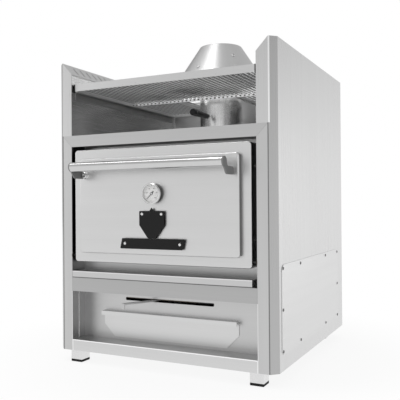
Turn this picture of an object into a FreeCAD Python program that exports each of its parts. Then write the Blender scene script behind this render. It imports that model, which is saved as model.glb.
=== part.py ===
"""Charcoal oven in sheet steel, with a drop-down door, warming rack and a flue under a draught hood.

Every formula is written in the cabinet's own frame, in millimetres: x across from the middle, y back
from the front face, z up from the underside of the cabinet. The pieces are then set down with the feet
on z = 0 and the outline centred on the origin.
"""
import os
import re

import FreeCAD
import Part
import Sketcher

SIZES = (
    ("width", 726, "across the outside of the side walls"),
    ("depth", 730, "front face to back"),
    ("height", 900, "side wall, without the feet"),
    ("wall", 55, "thickness of a boxed side wall"),
    ("sheet", 2, "steel sheet"),
    ("bevel", 20, "bevel on the front corner of a side wall"),
    ("slope_drop", 37, "fall of the sloping top edge of a side wall"),
    ("leg_size", 40, "square leg"),
    ("leg_height", 30, "leg tube below the cabinet"),
    ("leg_cap", 8, "rubber cap under a leg"),
    ("leg_inset_side", 42, "leg from the side of the cabinet"),
    ("leg_inset_front", 10, "front leg from the front face"),
    ("leg_inset_back", 50, "rear leg from the back"),
    ("vent_first", 42, "first vent slot from the front"),
    ("vent_pitch", 33, "vent slot to vent slot"),
    ("vent_count", 18, "vent slots in a side wall"),
    ("vent_slot", 4, "width of a vent slot"),
    ("vent_margin", 6, "slope left beside a vent slot, in plan"),
    ("deck_height", 669, "deck over the oven, level with the top of the face frame"),
    ("top_rail", 35, "face frame rail above the door"),
    ("mid_rail_top", 227, "top of the face frame rail under the door"),
    ("mid_rail", 42, "face frame rail under the door"),
    ("bottom_rail", 34, "face frame rail under the niche"),
    ("frame_seam", 0.5, "seam beside the face frame"),
    ("frame_depth", 63, "front face to the front plate of the oven"),
    ("front_plate", 3, "front plate of the oven"),
    ("mouth_lip", 6, "front plate beside the oven mouth, inside the firebox"),
    ("mouth_inset", 34, "oven mouth from the bottom of the door and the top of its opening"),
    ("firebox_plate", 4, "firebox plate"),
    ("blanket", 36, "insulation round the firebox"),
    ("blanket_low", 200, "bottom of the insulation"),
    ("blanket_side", 12, "insulation to a side wall"),
    ("blanket_back", 82, "insulation to the back panel"),
    ("blanket_top", 3, "insulation to the deck"),
    ("ash_hole_width", 300, "ash opening in the firebox floor"),
    ("ash_hole_front", 290, "front of the ash opening"),
    ("ash_hole_back", 430, "back of the ash opening"),
    ("grate_height", 215, "underside of the charcoal grate"),
    ("grate_thickness", 8, "charcoal grate"),
    ("grate_slots", 15, "slots in the charcoal grate"),
    ("grate_slot", 12, "width of a grate slot"),
    ("grate_margin", 30, "rim of the charcoal grate"),
    ("ledge", 16, "ledge that carries a grate"),
    ("grid_height", 420, "underside of the cooking grid"),
    ("grid_bar", 8, "frame bar of the cooking grid"),
    ("grid_rod", 6, "rod of the cooking grid"),
    ("grid_rod_count", 21, "rods of the cooking grid"),
    ("grid_clear", 4, "grid to the firebox walls"),
    ("door_gap", 14, "door to the stile"),
    ("door_gap_top", 12, "door to the top rail"),
    ("door_gap_low", 51, "door to the mid rail"),
    ("door_proud", 2, "door skin in front of the face frame"),
    ("door_corner", 10, "corner radius of the door"),
    ("door_edge", 3, "rounded front edge of the door"),
    ("panel_border", 29, "door skin round the raised panel"),
    ("panel_proud", 16, "height of the raised panel"),
    ("panel_edge", 5, "rounded front edge of the raised panel"),
    ("door_fill_gap", 8, "door skin to the door insulation"),
    ("gasket", 12, "rope seal"),
    ("gasket_margin", 6, "rope seal from the edge of the oven mouth"),
    ("gasket_clear", 0.3, "rope seal to the front plate"),
    ("hinge_back", 9, "hinge axis behind the front face"),
    ("hinge_rise", 18, "hinge axis above the bottom of the door"),
    ("hinge_pin", 10, "diameter of the hinge pin"),
    ("hinge_head", 14, "welded head of the hinge pin"),
    ("hinge_head_length", 6, "welded head of the hinge pin, along the axis"),
    ("bush_wall", 3, "wall of the hinge bush"),
    ("bush_flange", 2, "flange of the hinge bush"),
    ("bush_length", 10, "hinge bush"),
    ("running", 0.05, "radial clearance of a turning pin"),
    ("slack", 0.3, "clearance under a sliding piece"),
    ("handle_inset", 15, "end of the handle from the edge of the raised panel"),
    ("handle_tube", 28, "diameter of the handle tube"),
    ("handle_wall", 2, "wall of the handle tube"),
    ("handle_offset", 77, "handle axis in front of the face frame"),
    ("handle_drop", 57, "handle axis under the top of the door"),
    ("bracket_plate", 4, "thickness of a handle bracket"),
    ("bracket_drop", 33, "underside of a handle bracket under the handle axis"),
    ("bracket_heel", 13, "lower front corner of a bracket behind the handle axis"),
    ("bracket_foot", 22, "height of the bracket foot"),
    ("bracket_bend", 10, "rounding of the bracket's bends"),
    ("bracket_tip", 9, "rounding of the bracket foot"),
    ("standoff", 18, "diameter of a handle stand-off"),
    ("standoff_length", 16, "stand-off beside the bracket foot"),
    ("dial_rise", 206, "axis of the thermometer above the bottom of the door"),
    ("dial_case", 60, "diameter of the thermometer"),
    ("dial_rim", 4, "rim of the thermometer"),
    ("dial_stand", 9, "neck between the raised panel and the thermometer"),
    ("dial_neck", 26, "diameter of the neck"),
    ("dial_proud", 11, "thermometer in front of its neck"),
    ("dial_back", 3, "back wall of the thermometer"),
    ("dial_plate", 1, "dial"),
    ("lens_plate", 1.5, "thermometer lens"),
    ("lens_recess", 1, "lens behind the rim"),
    ("pointer_length", 21, "pointer from its axis"),
    ("pointer_tail", 9, "tail of the pointer"),
    ("pointer_hub", 8, "diameter of the pointer hub"),
    ("pointer_plate", 1, "pointer"),
    ("pointer_angle", -135, "rest angle of the pointer from upright"),
    ("stem", 8, "diameter of the thermometer stem"),
    ("stem_reach", 32, "stem inside the oven"),
    ("arbor", 2, "diameter of the pointer's arbor"),
    ("badge_shift", -4, "middle of the black plates"),
    ("badge_plate", 2, "black plates"),
    ("badge_stand", 6, "black plates in front of the raised panel"),
    ("name_width", 208, "name plate"),
    ("name_rise", 46.5, "name plate above the bottom of the door"),
    ("name_height", 30.5, "name plate"),
    ("name_slant", 7, "slant of the ends of the name plate"),
    ("crest_width", 82, "badge plate"),
    ("crest_gap", 0.5, "name plate to the badge plate"),
    ("crest_height", 79, "badge plate"),
    ("crest_cut", 28.5, "cut lower corners of the badge plate, across"),
    ("crest_rise", 38, "cut lower corners of the badge plate, upwards"),
    ("plate_corner", 3, "corner radius of the black plates"),
    ("rivet", 7, "rivet head"),
    ("rivet_inset", 12, "rivet from the end of the name plate"),
    ("crest_inset", 9, "rivet from the side and the top of the badge plate"),
    ("tray_gap", 10, "drip tray to the stile"),
    ("tray_proud", 12, "drip tray in front of the face frame"),
    ("tray_height", 22, "drip tray"),
    ("tray_back", 5, "drip tray to the front plate"),
    ("tray_shadow", 1.6, "step under the lip of the drip tray"),
    ("slot_width", 302, "lever slot"),
    ("slot_low", 157, "bottom of the lever slot"),
    ("slot_high", 167, "top of the lever slot"),
    ("lever_plate", 4, "draft lever"),
    ("lever_width", 14, "tongue of the draft lever"),
    ("lever_length", 215, "lever from its pivot to its tip"),
    ("lever_back", 91, "lever pivot behind the front plate"),
    ("lever_angle", -27, "rest angle of the lever"),
    ("lever_drop", 12, "bent tip of the lever"),
    ("lever_hub", 32, "diameter of the lever hub"),
    ("lever_gap", 0.5, "lever to the firebox floor"),
    ("lever_pin", 8, "diameter of the lever pivot"),
    ("lever_pin_head", 16, "head of the lever pivot"),
    ("shutter", 92, "diameter of the draft shutter"),
    ("shutter_back", 60, "middle of the shutter behind the pivot"),
    ("air_port", 80, "air port in the firebox floor"),
    ("ash_width", 458, "front of the ash drawer"),
    ("ash_low", 42, "bottom of the drawer front"),
    ("ash_high", 122, "top of the drawer front"),
    ("ash_cut", 38, "cut lower corners of the drawer front"),
    ("ash_grip", 18, "grip folded forward"),
    ("ash_lip", 13, "grip folded down"),
    ("ash_box_width", 376, "ash drawer box"),
    ("ash_box_low", 46, "underside of the ash drawer box"),
    ("ash_box_high", 110, "top of the ash drawer box"),
    ("ash_box_length", 380, "ash drawer box"),
    ("ash_clear", 2.5, "ash drawer box to its opening"),
    ("guide_side", 4, "ash drawer box to its guide"),
    ("guide_tread", 12, "guide under the ash drawer box"),
    ("guide_height", 60, "ash drawer guide"),
    ("compartment_back", 62, "back of the warming compartment from the back"),
    ("rack_front", 10, "front lip of the rack behind the front face"),
    ("rack_gap", 7, "rack to the side wall"),
    ("rack_drop", 69, "rack lip under the top of the side walls"),
    ("rack_lip", 22, "height of the rack lip"),
    ("rack_bar", 6, "side and cross bars of the rack"),
    ("rack_bar_height", 8, "side and cross bars of the rack"),
    ("rack_bar_drop", 2, "rack bars under the rack lip"),
    ("rack_rod", 6, "rods of the rack"),
    ("rack_rod_count", 39, "rods of the rack"),
    ("rack_rod_seat", 0.1, "rods above the rack bars"),
    ("rack_back", 18, "rack to the compartment back"),
    ("notch_width", 210, "notch in the rack for the flue"),
    ("notch_front", 336, "front of the notch"),
    ("angle_tread", 14, "rack support under the rack"),
    ("angle_drop", 22, "rack support on the wall"),
    ("angle_inset", 20, "rack support from the front"),
    ("flue", 150, "diameter of the flue pipe"),
    ("flue_back", 457, "flue axis behind the front face"),
    ("flue_lap", 60, "flue pipe inside the draught hood"),
    ("flue_seat", 4, "lap of the flue pipe on the firebox"),
    ("hood_height", 121, "draught hood"),
    ("hood_drop", 12, "bottom of the draught hood under the top of the side walls"),
    ("hood_base", 308, "diameter of the draught hood at its bottom"),
    ("outlet", 140.5, "bore of the flue outlet"),
    ("outlet_length", 20, "flue outlet"),
    ("strap_width", 16, "strap between pipe and hood"),
    ("strap_rise", 20, "strap above the bottom of the draught hood"),
    ("strap_height", 25, "strap"),
    ("strap_gap", 0.5, "strap to the pipe and the hood"),
    ("strap_count", 6, "straps between pipe and hood"),
    ("strap_angle", -42, "first strap round the flue"),
    ("bolt_head", 11, "hood bolt"),
    ("bolt_height", 4, "hood bolt"),
    ("damper_rise", 87, "damper axis above the deck"),
    ("damper_shaft", 7, "diameter of the damper shaft"),
    ("damper_clear", 1, "damper blade to the pipe"),
    ("damper_front", 12, "damper shaft in front of the pipe"),
    ("damper_rear", 8, "damper shaft behind the pipe"),
    ("crank", 9, "damper crank to the left"),
    ("crank_drop", 1, "damper crank downwards"),
    ("grip_neck", 8, "crank rod before the grip"),
    ("grip_length", 115, "damper grip"),
    ("grip_small", 16, "diameter of the grip at the crank"),
    ("grip_large", 22, "diameter of the grip at its end"),
    ("grip_knob", 15, "end knob of the grip"),
    ("grip_groove", 2, "groove before the end knob"),
    ("cover_plate", 1.5, "access cover"),
    ("cover_front", 38, "access cover from the front face"),
    ("cover_back", 70, "access cover from the back"),
    ("cover_low", 43, "bottom of the access cover"),
    ("cover_high", 288, "top of the access cover"),
    ("cover_corner", 20, "corner radius of the access cover"),
    ("screw", 9, "screw head"),
    ("screw_height", 1.6, "screw head"),
    ("screw_inset", 10, "screw from the edge of the access cover"),
    ("screw_side", 160, "inner screws from the end screws"),
)

# Places worked out from the sizes
INSIDE = "(width / 2 - wall)"
STILE = "(width / 2 - bevel)"
FEET = "(leg_height + leg_cap)"
REACH = "(handle_offset + handle_tube / 2)"
FRONT = f"(({REACH} - depth) / 2)"
SLOPE_FOOT = "(height - slope_drop)"
REAR = "(depth - sheet)"
OPENING_TOP = "(deck_height - top_rail)"
NICHE_TOP = "(mid_rail_top - mid_rail)"
PLATE_BACK = "(frame_depth + front_plate)"
FIREBOX_BACK = f"({REAR} - blanket_back - blanket)"
FIREBOX_SIDE = f"({INSIDE} - blanket_side - blanket)"
FIREBOX_TOP = "(deck_height - sheet - blanket_top - blanket)"
FIREBOX_IN = f"({FIREBOX_SIDE} - firebox_plate)"
MOUTH_SIDE = f"({FIREBOX_IN} - mouth_lip)"
LEVER_LOW = "((slot_low + slot_high - lever_plate) / 2)"
FIREBOX_LOW = f"({LEVER_LOW} + lever_plate + lever_gap)"
DOOR_SIDE = f"({INSIDE} - door_gap)"
DOOR_LOW = "(mid_rail_top + door_gap_low)"
DOOR_TOP = f"({OPENING_TOP} - door_gap_top)"
LINER_BACK = "(frame_depth - gasket_clear - gasket)"
LINER_FRONT = f"({LINER_BACK} - sheet)"
PANEL_FRONT = "(-door_proud - panel_proud)"
HINGE_HEIGHT = f"({DOOR_LOW} + hinge_rise)"
HANDLE_END = f"({DOOR_SIDE} - panel_border - handle_inset)"
HANDLE_HEIGHT = f"({DOOR_TOP} - handle_drop)"
STEM_LEAST = "(grid_height + grid_bar + grid_rod + grid_clear + stem / 2)"
DIAL_HEIGHT = f"max({DOOR_LOW} + dial_rise; {STEM_LEAST})"
NAME_LOW = f"({DOOR_LOW} + name_rise)"
NAME_HIGH = f"({NAME_LOW} + name_height)"
CREST_LOW = f"({NAME_HIGH} + crest_gap)"
CREST_HIGH = f"({CREST_LOW} + crest_height)"
BUSH = "(hinge_pin / 2 + running + bush_wall)"
DIAL_BACK = f"({PANEL_FRONT} - dial_stand)"
DIAL_FRONT = f"({DIAL_BACK} - dial_proud)"
DIAL_SEAT = f"({DIAL_BACK} - dial_back)"
DIAL_FACE = f"({DIAL_SEAT} - dial_plate)"
POINTER_BACK = f"({DIAL_FACE} - slack)"
BADGE_BACK = f"({PANEL_FRONT} - badge_stand)"
BADGE_FRONT = f"({BADGE_BACK} - badge_plate)"
LEVER_PIVOT = f"({PLATE_BACK} + lever_back)"
ASH_FACE = "(frame_depth - slack)"
ASH_BACK = f"({ASH_FACE} + ash_box_length)"
GUIDE_TOP = "(ash_box_low - slack)"
COMPARTMENT = "(depth - compartment_back)"
RACK_SIDE = f"({INSIDE} - rack_gap)"
RACK_REAR = f"({COMPARTMENT} - rack_back)"
RACK_HIGH = "(height - rack_drop)"
RACK_LOW = f"({RACK_HIGH} - rack_lip)"
RACK_BAR_LOW = f"({RACK_LOW} - rack_bar_drop)"
RACK_BAR_TOP = f"({RACK_BAR_LOW} + rack_bar_height)"
OUTLET_OUTER = "(outlet / 2 + sheet)"
HOOD_LOW = "(height - hood_drop)"
HOOD_TOP = f"({HOOD_LOW} + hood_height)"
FLUE_TOP = f"({HOOD_LOW} + flue_lap)"
STRAP_LOW = f"({HOOD_LOW} + strap_rise)"
STRAP_HIGH = f"({STRAP_LOW} + strap_height)"
DAMPER_HEIGHT = "(deck_height + damper_rise)"
DAMPER_FRONT = "(flue_back - flue / 2 - damper_front)"
GRIP_BACK = f"({DAMPER_FRONT} - grip_neck)"

X, Y, Z = FreeCAD.Vector(1, 0, 0), FreeCAD.Vector(0, 1, 0), FreeCAD.Vector(0, 0, 1)
AXIS_TURN = {
    "x": FreeCAD.Rotation(Y, 90),
    "y": FreeCAD.Rotation(X, -90),
    "z": FreeCAD.Rotation(),
}
NEAR = 0.001

doc = FreeCAD.newDocument("CharcoalOven")
sizes = doc.addObject("Spreadsheet::Sheet", "Sizes")
for row, (alias, value, meaning) in enumerate(SIZES, start=1):
    sizes.set(f"A{row}", meaning)
    sizes.set(f"B{row}", str(value))
    sizes.setAlias(f"B{row}", alias)
doc.recompute()
ALIASES = {alias for alias, value, meaning in SIZES}
pieces = []


# Formulas, bindings and the list of finished pieces
def in_sheet(formula):
    """Point every size named in a formula at its cell."""
    return re.sub(r"[a-z_]+", lambda word: f"Sizes.{word[0]}" if word[0] in ALIASES else word[0], formula)


def number(formula):
    return float(sizes.evalExpression(in_sheet(formula)))


def bind(item, prop, formula):
    item.setExpression(prop, in_sheet(formula))


def set_down(item, x, y, z):
    """Place an item given in the cabinet's frame."""
    bind(item, "Placement.Base.x", x)
    bind(item, "Placement.Base.y", f"{FRONT} + ({y})")
    bind(item, "Placement.Base.z", f"{FEET} + ({z})")


def piece(item, name):
    """Keep an object as a finished piece under its own name."""
    item.Label = name
    pieces.append(item)
    return item


# Solids and booleans
def box(x, y, z):
    """Block between pairs of low and high formulas."""
    block = doc.addObject("Part::Box", "Block")
    for prop, (low, high) in zip(("Length", "Width", "Height"), (x, y, z)):
        bind(block, prop, f"({high}) - ({low})")
    set_down(block, x[0], y[0], z[0])
    return block


def rod(axis, radius, centre, low, high):
    """Round bar along an axis, its centre given on the other two axes."""
    bar = doc.addObject("Part::Cylinder", "Rod")
    bind(bar, "Radius", radius)
    bind(bar, "Height", f"({high}) - ({low})")
    bar.Placement = FreeCAD.Placement(FreeCAD.Vector(), AXIS_TURN[axis])
    spot = list(centre)
    spot.insert("xyz".index(axis), low)
    set_down(bar, *spot)
    return bar


def ball(radius, centre):
    sphere = doc.addObject("Part::Sphere", "Ball")
    bind(sphere, "Radius", radius)
    set_down(sphere, *centre)
    return sphere


def fuse(*items):
    joined = doc.addObject("Part::MultiFuse", "Joined")
    joined.Shapes = list(items)
    return joined


def cut(base, *tools):
    trimmed = doc.addObject("Part::Cut", "Trimmed")
    trimmed.Base = base
    trimmed.Tool = tools[0] if len(tools) == 1 else fuse(*tools)
    return trimmed


def group(items):
    """Several like solids kept as one piece."""
    together = doc.addObject("Part::Compound", "Group")
    together.Links = items
    return together


# Bodies made from sketches
def new_body(x="0", y="0", z="0", turn=None):
    """Body at a place in the cabinet's frame, turned about an axis by an angle formula where one is given."""
    body = doc.addObject("PartDesign::Body", "Body")
    if turn:
        axis, angle = turn
        body.Placement = FreeCAD.Placement(FreeCAD.Vector(), FreeCAD.Rotation(axis, number(angle)))
        bind(body, "Placement.Rotation.Angle", angle if number(angle) >= 0 else f"-({angle})")
    set_down(body, x, y, z)
    return body


def draw_polygon(drawing, corners):
    """Closed outline whose corners are held by their formulas."""
    first = drawing.GeometryCount
    points = [FreeCAD.Vector(number(across), number(up), 0) for across, up in corners]
    for start, end in zip(points, points[1:] + points[:1]):
        drawing.addGeometry(Part.LineSegment(start, end), False)
    for index, (across, up) in enumerate(corners):
        line = first + index
        following = first + (index + 1) % len(corners)
        drawing.addConstraint(Sketcher.Constraint("Coincident", line, 2, following, 1))
        for kind, formula in (("DistanceX", across), ("DistanceY", up)):
            held = drawing.addConstraint(Sketcher.Constraint(kind, -1, 1, line, 1, number(formula)))
            bind(drawing, f"Constraints[{held}]", formula)


def draw_circle(drawing, across, up, radius):
    centre = FreeCAD.Vector(number(across), number(up), 0)
    ring = drawing.addGeometry(Part.Circle(centre, FreeCAD.Vector(0, 0, 1), number(radius)), False)
    for kind, formula in (("DistanceX", across), ("DistanceY", up)):
        held = drawing.addConstraint(Sketcher.Constraint(kind, -1, 1, ring, 3, number(formula)))
        bind(drawing, f"Constraints[{held}]", formula)
    held = drawing.addConstraint(Sketcher.Constraint("Radius", ring, number(radius)))
    bind(drawing, f"Constraints[{held}]", radius)


def sketch(body, plane, outlines, level="0"):
    """Sketch of polygons and circles on a plane of the body, moved along the plane's normal by level."""
    drawing = body.newObject("Sketcher::SketchObject", "Outline")
    support = [item for item in body.Origin.OriginFeatures if item.Role == plane][0]
    drawing.AttachmentSupport = [(support, "")]
    drawing.MapMode = "FlatFace"
    bind(drawing, "AttachmentOffset.Base.z", level)
    for outline in outlines:
        if isinstance(outline, tuple):
            draw_circle(drawing, *outline)
        else:
            draw_polygon(drawing, outline)
    return drawing


def extrude(body, kind, plane, outlines, low, high):
    """Pad or pocket between two levels along the plane's axis."""
    backwards = plane == "XZ_Plane"
    level = f"-({low})" if backwards else low
    feature = body.newObject(f"PartDesign::{kind}", kind)
    feature.Profile = sketch(body, plane, outlines, level)
    feature.Reversed = backwards == (kind == "Pad")
    bind(feature, "Length", f"({high}) - ({low})")
    return feature


def pad(body, plane, outlines, low, high):
    return extrude(body, "Pad", plane, outlines, low, high)


def pocket(body, plane, outlines, low, high):
    return extrude(body, "Pocket", plane, outlines, low, high)


def revolve(body, plane, line, outline):
    """Turn an outline about a sketch axis, V_Axis for z on the XZ plane and H_Axis for y on the YZ plane."""
    feature = body.newObject("PartDesign::Revolution", "Turned")
    drawing = sketch(body, plane, [outline])
    feature.Profile = drawing
    feature.ReferenceAxis = (drawing, [line])
    feature.Angle = 360
    return feature


def soften(body, kind, prop, size, wanted):
    """Fillet or chamfer the edges of the body's last feature that are wanted."""
    doc.recompute()
    base = body.Tip
    names = [f"Edge{index}" for index, edge in enumerate(base.Shape.Edges, start=1) if wanted(edge)]
    feature = body.newObject(f"PartDesign::{kind}", kind)
    feature.Base = (base, names)
    bind(feature, prop, size)
    return feature


def runs_along(axis):
    return lambda edge: abs(edge.tangentAt(edge.FirstParameter).dot(axis)) > 1 - NEAR


def rectangle(across, up):
    """Corners of a rectangle between pairs of low and high formulas."""
    return [(across[0], up[0]), (across[1], up[0]), (across[1], up[1]), (across[0], up[1])]


def both_sides(half):
    return (f"-{half}", half)


def grown(pair, amount):
    return (f"{pair[0]} - ({amount})", f"{pair[1]} + ({amount})")


def rounded_plate(across, up, low, high, corner, edge=None):
    """Upright plate or block with round corners and, where asked, a round front edge."""
    body = new_body()
    pad(body, "XZ_Plane", [rectangle(across, up)], low, high)
    soften(body, "Fillet", "Radius", corner, runs_along(Y))
    if edge:
        front = number(low)
        soften(body, "Fillet", "Radius", edge, lambda line: line.BoundBox.YMax < front + NEAR)
    return body


# Side walls
def mirrored(side, corners):
    return [(f"{side} * ({across})", up) for across, up in corners]


def wall_block(side, corners, low, high, bevel):
    """Side wall outline run from front to back, with its front outer corner bevelled."""
    body = new_body()
    pad(body, "XZ_Plane", [mirrored(side, corners)], low, high)
    outer = abs(number(corners[0][0]))
    front = number(low)

    def front_outer(edge):
        box_of = edge.BoundBox
        return runs_along(Z)(edge) and abs(edge.CenterOfMass.x) > outer - NEAR and box_of.YMax < front + NEAR

    soften(body, "Chamfer", "Size", bevel, front_outer)
    return body


def wall_skin(name, side):
    slant = "(sqrt(slope_drop^2 + (wall - bevel)^2) / (wall - bevel))"
    shape = [
        ("width / 2", "0"),
        ("width / 2", "height"),
        (STILE, "height"),
        (INSIDE, SLOPE_FOOT),
        (INSIDE, "0"),
    ]
    inner = [
        ("width / 2 - sheet", "-sheet"),
        ("width / 2 - sheet", "height - sheet"),
        (f"{STILE} + ({slant} - 1) * sheet * (wall - bevel) / slope_drop", "height - sheet"),
        (f"{INSIDE} - sheet", f"{SLOPE_FOOT} - {slant} * sheet - sheet * slope_drop / (wall - bevel)"),
        (f"{INSIDE} - sheet", "-sheet"),
    ]
    outside = wall_block(side, shape, "0", "depth", "bevel")
    hollow = wall_block(side, inner, "sheet", REAR, "bevel - (2 - sqrt(2)) * sheet")
    edges = sorted((f"{side} * ({INSIDE} - sheet)", f"{side} * {STILE}"), key=number)
    frame_room = box(edges, ("-sheet", "sheet"), ("-sheet", "deck_height"))
    slot_edges = (f"{side} * ({INSIDE} + vent_margin)", f"{side} * ({STILE} - vent_margin)")
    slot_ends = sorted(slot_edges, key=number)
    vents = []
    for index in range(round(number("vent_count"))):
        start = f"vent_first + {index} * vent_pitch"
        vents.append(box(slot_ends, (start, f"{start} + vent_slot"), (f"{SLOPE_FOOT} - wall", "height")))
    return piece(cut(outside, hollow, frame_room, *vents), name)


def wall_liner(name, side):
    """Inner sheet of a side wall, notched round the returns of the face frame."""
    body = new_body()
    corners = [
        ("frame_depth", "sheet"),
        (REAR, "sheet"),
        (REAR, SLOPE_FOOT + " - 2 * sheet"),
        ("sheet", SLOPE_FOOT + " - 2 * sheet"),
        ("sheet", "deck_height"),
        ("frame_depth", "deck_height"),
    ]
    across = sorted((f"{side} * {INSIDE}", f"{side} * ({INSIDE} + sheet)"), key=number)
    pad(body, "YZ_Plane", [corners], *across)
    return piece(body, name)


for side_name, side in (("left", "-1"), ("right", "1")):
    wall_skin(f"{side_name}_wall_skin", side)
    wall_liner(f"{side_name}_wall_liner", side)

# Face frame: one plate with two openings and deep returns round both
door_opening = (both_sides(INSIDE), ("mid_rail_top", OPENING_TOP))
niche = (both_sides(INSIDE), ("bottom_rail", NICHE_TOP))
frame = new_body()
face = (both_sides(f"({STILE} - frame_seam)"), ("0", "deck_height"))
pad(frame, "XZ_Plane", [rectangle(*face), rectangle(*door_opening), rectangle(*niche)], "0", "sheet")
for opening in (door_opening, niche):
    rim = rectangle(*(grown(pair, "sheet") for pair in opening))
    pad(frame, "XZ_Plane", [rim, rectangle(*opening)], "sheet", "frame_depth")
bush_holes = rod("x", BUSH, ("hinge_back", HINGE_HEIGHT), f"-{STILE}", STILE)
piece(cut(frame, bush_holes), "face_frame")

# Front plate of the oven, with the mouth, the lever slot and the drawer opening
mouth = (both_sides(MOUTH_SIDE), (f"{DOOR_LOW} + mouth_inset", f"{OPENING_TOP} - mouth_inset"))
slot = (both_sides("(slot_width / 2)"), ("slot_low", "slot_high"))
drawer_hole = (
    both_sides("(ash_box_width / 2 + ash_clear)"),
    ("ash_box_low - ash_clear", "ash_box_high + ash_clear"),
)
plate = new_body()
plate_edge = rectangle(both_sides(INSIDE), ("sheet", "deck_height - sheet"))
pad(plate, "XZ_Plane", [plate_edge, rectangle(*mouth), rectangle(*drawer_hole)], "frame_depth", PLATE_BACK)
pocket(plate, "XZ_Plane", [rectangle(*slot)], "frame_depth", PLATE_BACK)
slot_end = "(slot_high - slot_low) / 2.5"
soften(plate, "Fillet", "Radius", slot_end, lambda edge: runs_along(Y)(edge) and
       number("slot_low") - NEAR < edge.CenterOfMass.z < number("slot_high") + NEAR)
piece(plate, "oven_front_plate")

# Deck, base and backs
deck = box(both_sides(INSIDE), ("sheet", REAR), ("deck_height - sheet", "deck_height"))
deck_hole = rod("z", "flue / 2 + slack", ("0", "flue_back"), "deck_height - 2 * sheet", "deck_height + sheet")
piece(cut(deck, deck_hole), "deck")
piece(box(both_sides(STILE), ("sheet", REAR), ("0", "sheet")), "base_plate")
piece(box(both_sides(INSIDE), (REAR, "depth"), ("0", SLOPE_FOOT)), "back_panel")
inner_back = new_body()
pad(inner_back, "YZ_Plane", [[
    (COMPARTMENT, "deck_height"),
    (f"{COMPARTMENT} + sheet", "deck_height"),
    (f"{COMPARTMENT} + sheet", f"{SLOPE_FOOT} - sheet"),
    (REAR, f"{SLOPE_FOOT} - sheet"),
    (REAR, SLOPE_FOOT),
    (COMPARTMENT, SLOPE_FOOT),
]], f"-{INSIDE}", INSIDE)
piece(inner_back, "compartment_back_wall")

# Legs: square tube stubs with rubber caps
front_leg = ("leg_inset_front", "leg_inset_front + leg_size")
rear_leg = ("depth - leg_inset_back - leg_size", "depth - leg_inset_back")
outer_edge = "(width / 2 - leg_inset_side)"
legs = []
caps = []
for along in (front_leg, rear_leg):
    for across in ((f"-{outer_edge}", f"leg_size - {outer_edge}"), (f"{outer_edge} - leg_size", outer_edge)):
        tube = box(across, along, ("-leg_height", "0"))
        bore = box(grown(across, "-sheet"), grown(along, "-sheet"), ("-leg_height - sheet", "sheet"))
        legs.append(cut(tube, bore))
        cap = new_body()
        pad(cap, "XY_Plane", [rectangle(across, along)], f"-{FEET}", "-leg_height")
        soften(cap, "Fillet", "Radius", "leg_cap / 4", lambda edge: edge.BoundBox.ZMax < NEAR - number(FEET))
        caps.append(cap)
piece(group(legs), "legs")
piece(group(caps), "leg_caps")

# Firebox, its insulation, the charcoal grate and the cooking grid
firebox = box(both_sides(FIREBOX_SIDE), (PLATE_BACK, FIREBOX_BACK), (FIREBOX_LOW, FIREBOX_TOP))
chamber = box(
    both_sides(FIREBOX_IN),
    (f"{PLATE_BACK} - firebox_plate", f"{FIREBOX_BACK} - firebox_plate"),
    (f"{FIREBOX_LOW} + firebox_plate", f"{FIREBOX_TOP} - firebox_plate"),
)
floor_cut = (f"{FIREBOX_LOW} - firebox_plate", f"{FIREBOX_LOW} + 2 * firebox_plate")
air_hole = rod("z", "air_port / 2", ("0", f"{LEVER_PIVOT} + shutter_back"), *floor_cut)
ash_hole = box(both_sides("(ash_hole_width / 2)"), ("ash_hole_front", "ash_hole_back"), floor_cut)
smoke_hole = rod("z", "flue / 2 - flue_seat", ("0", "flue_back"),
                 f"{FIREBOX_TOP} - 2 * firebox_plate", f"{FIREBOX_TOP} + firebox_plate")
piece(cut(firebox, chamber, air_hole, ash_hole, smoke_hole), "firebox")

blanket = box(
    both_sides(f"({FIREBOX_SIDE} + blanket)"),
    (f"{PLATE_BACK} + slack", f"{FIREBOX_BACK} + blanket"),
    ("blanket_low", f"{FIREBOX_TOP} + blanket"),
)
wrapped = box(
    both_sides(f"({FIREBOX_SIDE} + slack)"),
    (f"{PLATE_BACK} - slack", f"{FIREBOX_BACK} + slack"),
    ("blanket_low - blanket", f"{FIREBOX_TOP} + slack"),
)
pipe_room = rod("z", "flue / 2 + slack", ("0", "flue_back"), FIREBOX_TOP, f"{FIREBOX_TOP} + 2 * blanket")
piece(cut(blanket, wrapped, pipe_room), "firebox_insulation")

inside_depth = (f"{PLATE_BACK} + grid_clear", f"{FIREBOX_BACK} - firebox_plate - grid_clear")
ledge_sides = ((f"-{FIREBOX_IN}", f"ledge - {FIREBOX_IN}"), (f"{FIREBOX_IN} - ledge", FIREBOX_IN))
for shelf_name, top in (("charcoal_ledges", "grate_height"), ("grid_rails", "grid_height")):
    ledges = [box(across, inside_depth, (f"{top} - firebox_plate", top)) for across in ledge_sides]
    piece(group(ledges), shelf_name)

grate_half = f"({FIREBOX_IN} - grid_clear)"
grate_top = "grate_height + grate_thickness"
grate = new_body()
pad(grate, "XY_Plane", [rectangle(both_sides(grate_half), inside_depth)], "grate_height", grate_top)
slot_run = grown(inside_depth, "-grate_margin")
slot_step = f"2 * ({grate_half} - grate_margin) / grate_slots"
slots = []
for index in range(round(number("grate_slots"))):
    middle = f"({index} - (grate_slots - 1) / 2) * {slot_step}"
    slots.append(rectangle((f"{middle} - grate_slot / 2", f"{middle} + grate_slot / 2"), slot_run))
pocket(grate, "XY_Plane", slots, "grate_height", grate_top)
piece(grate, "charcoal_grate")

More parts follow.
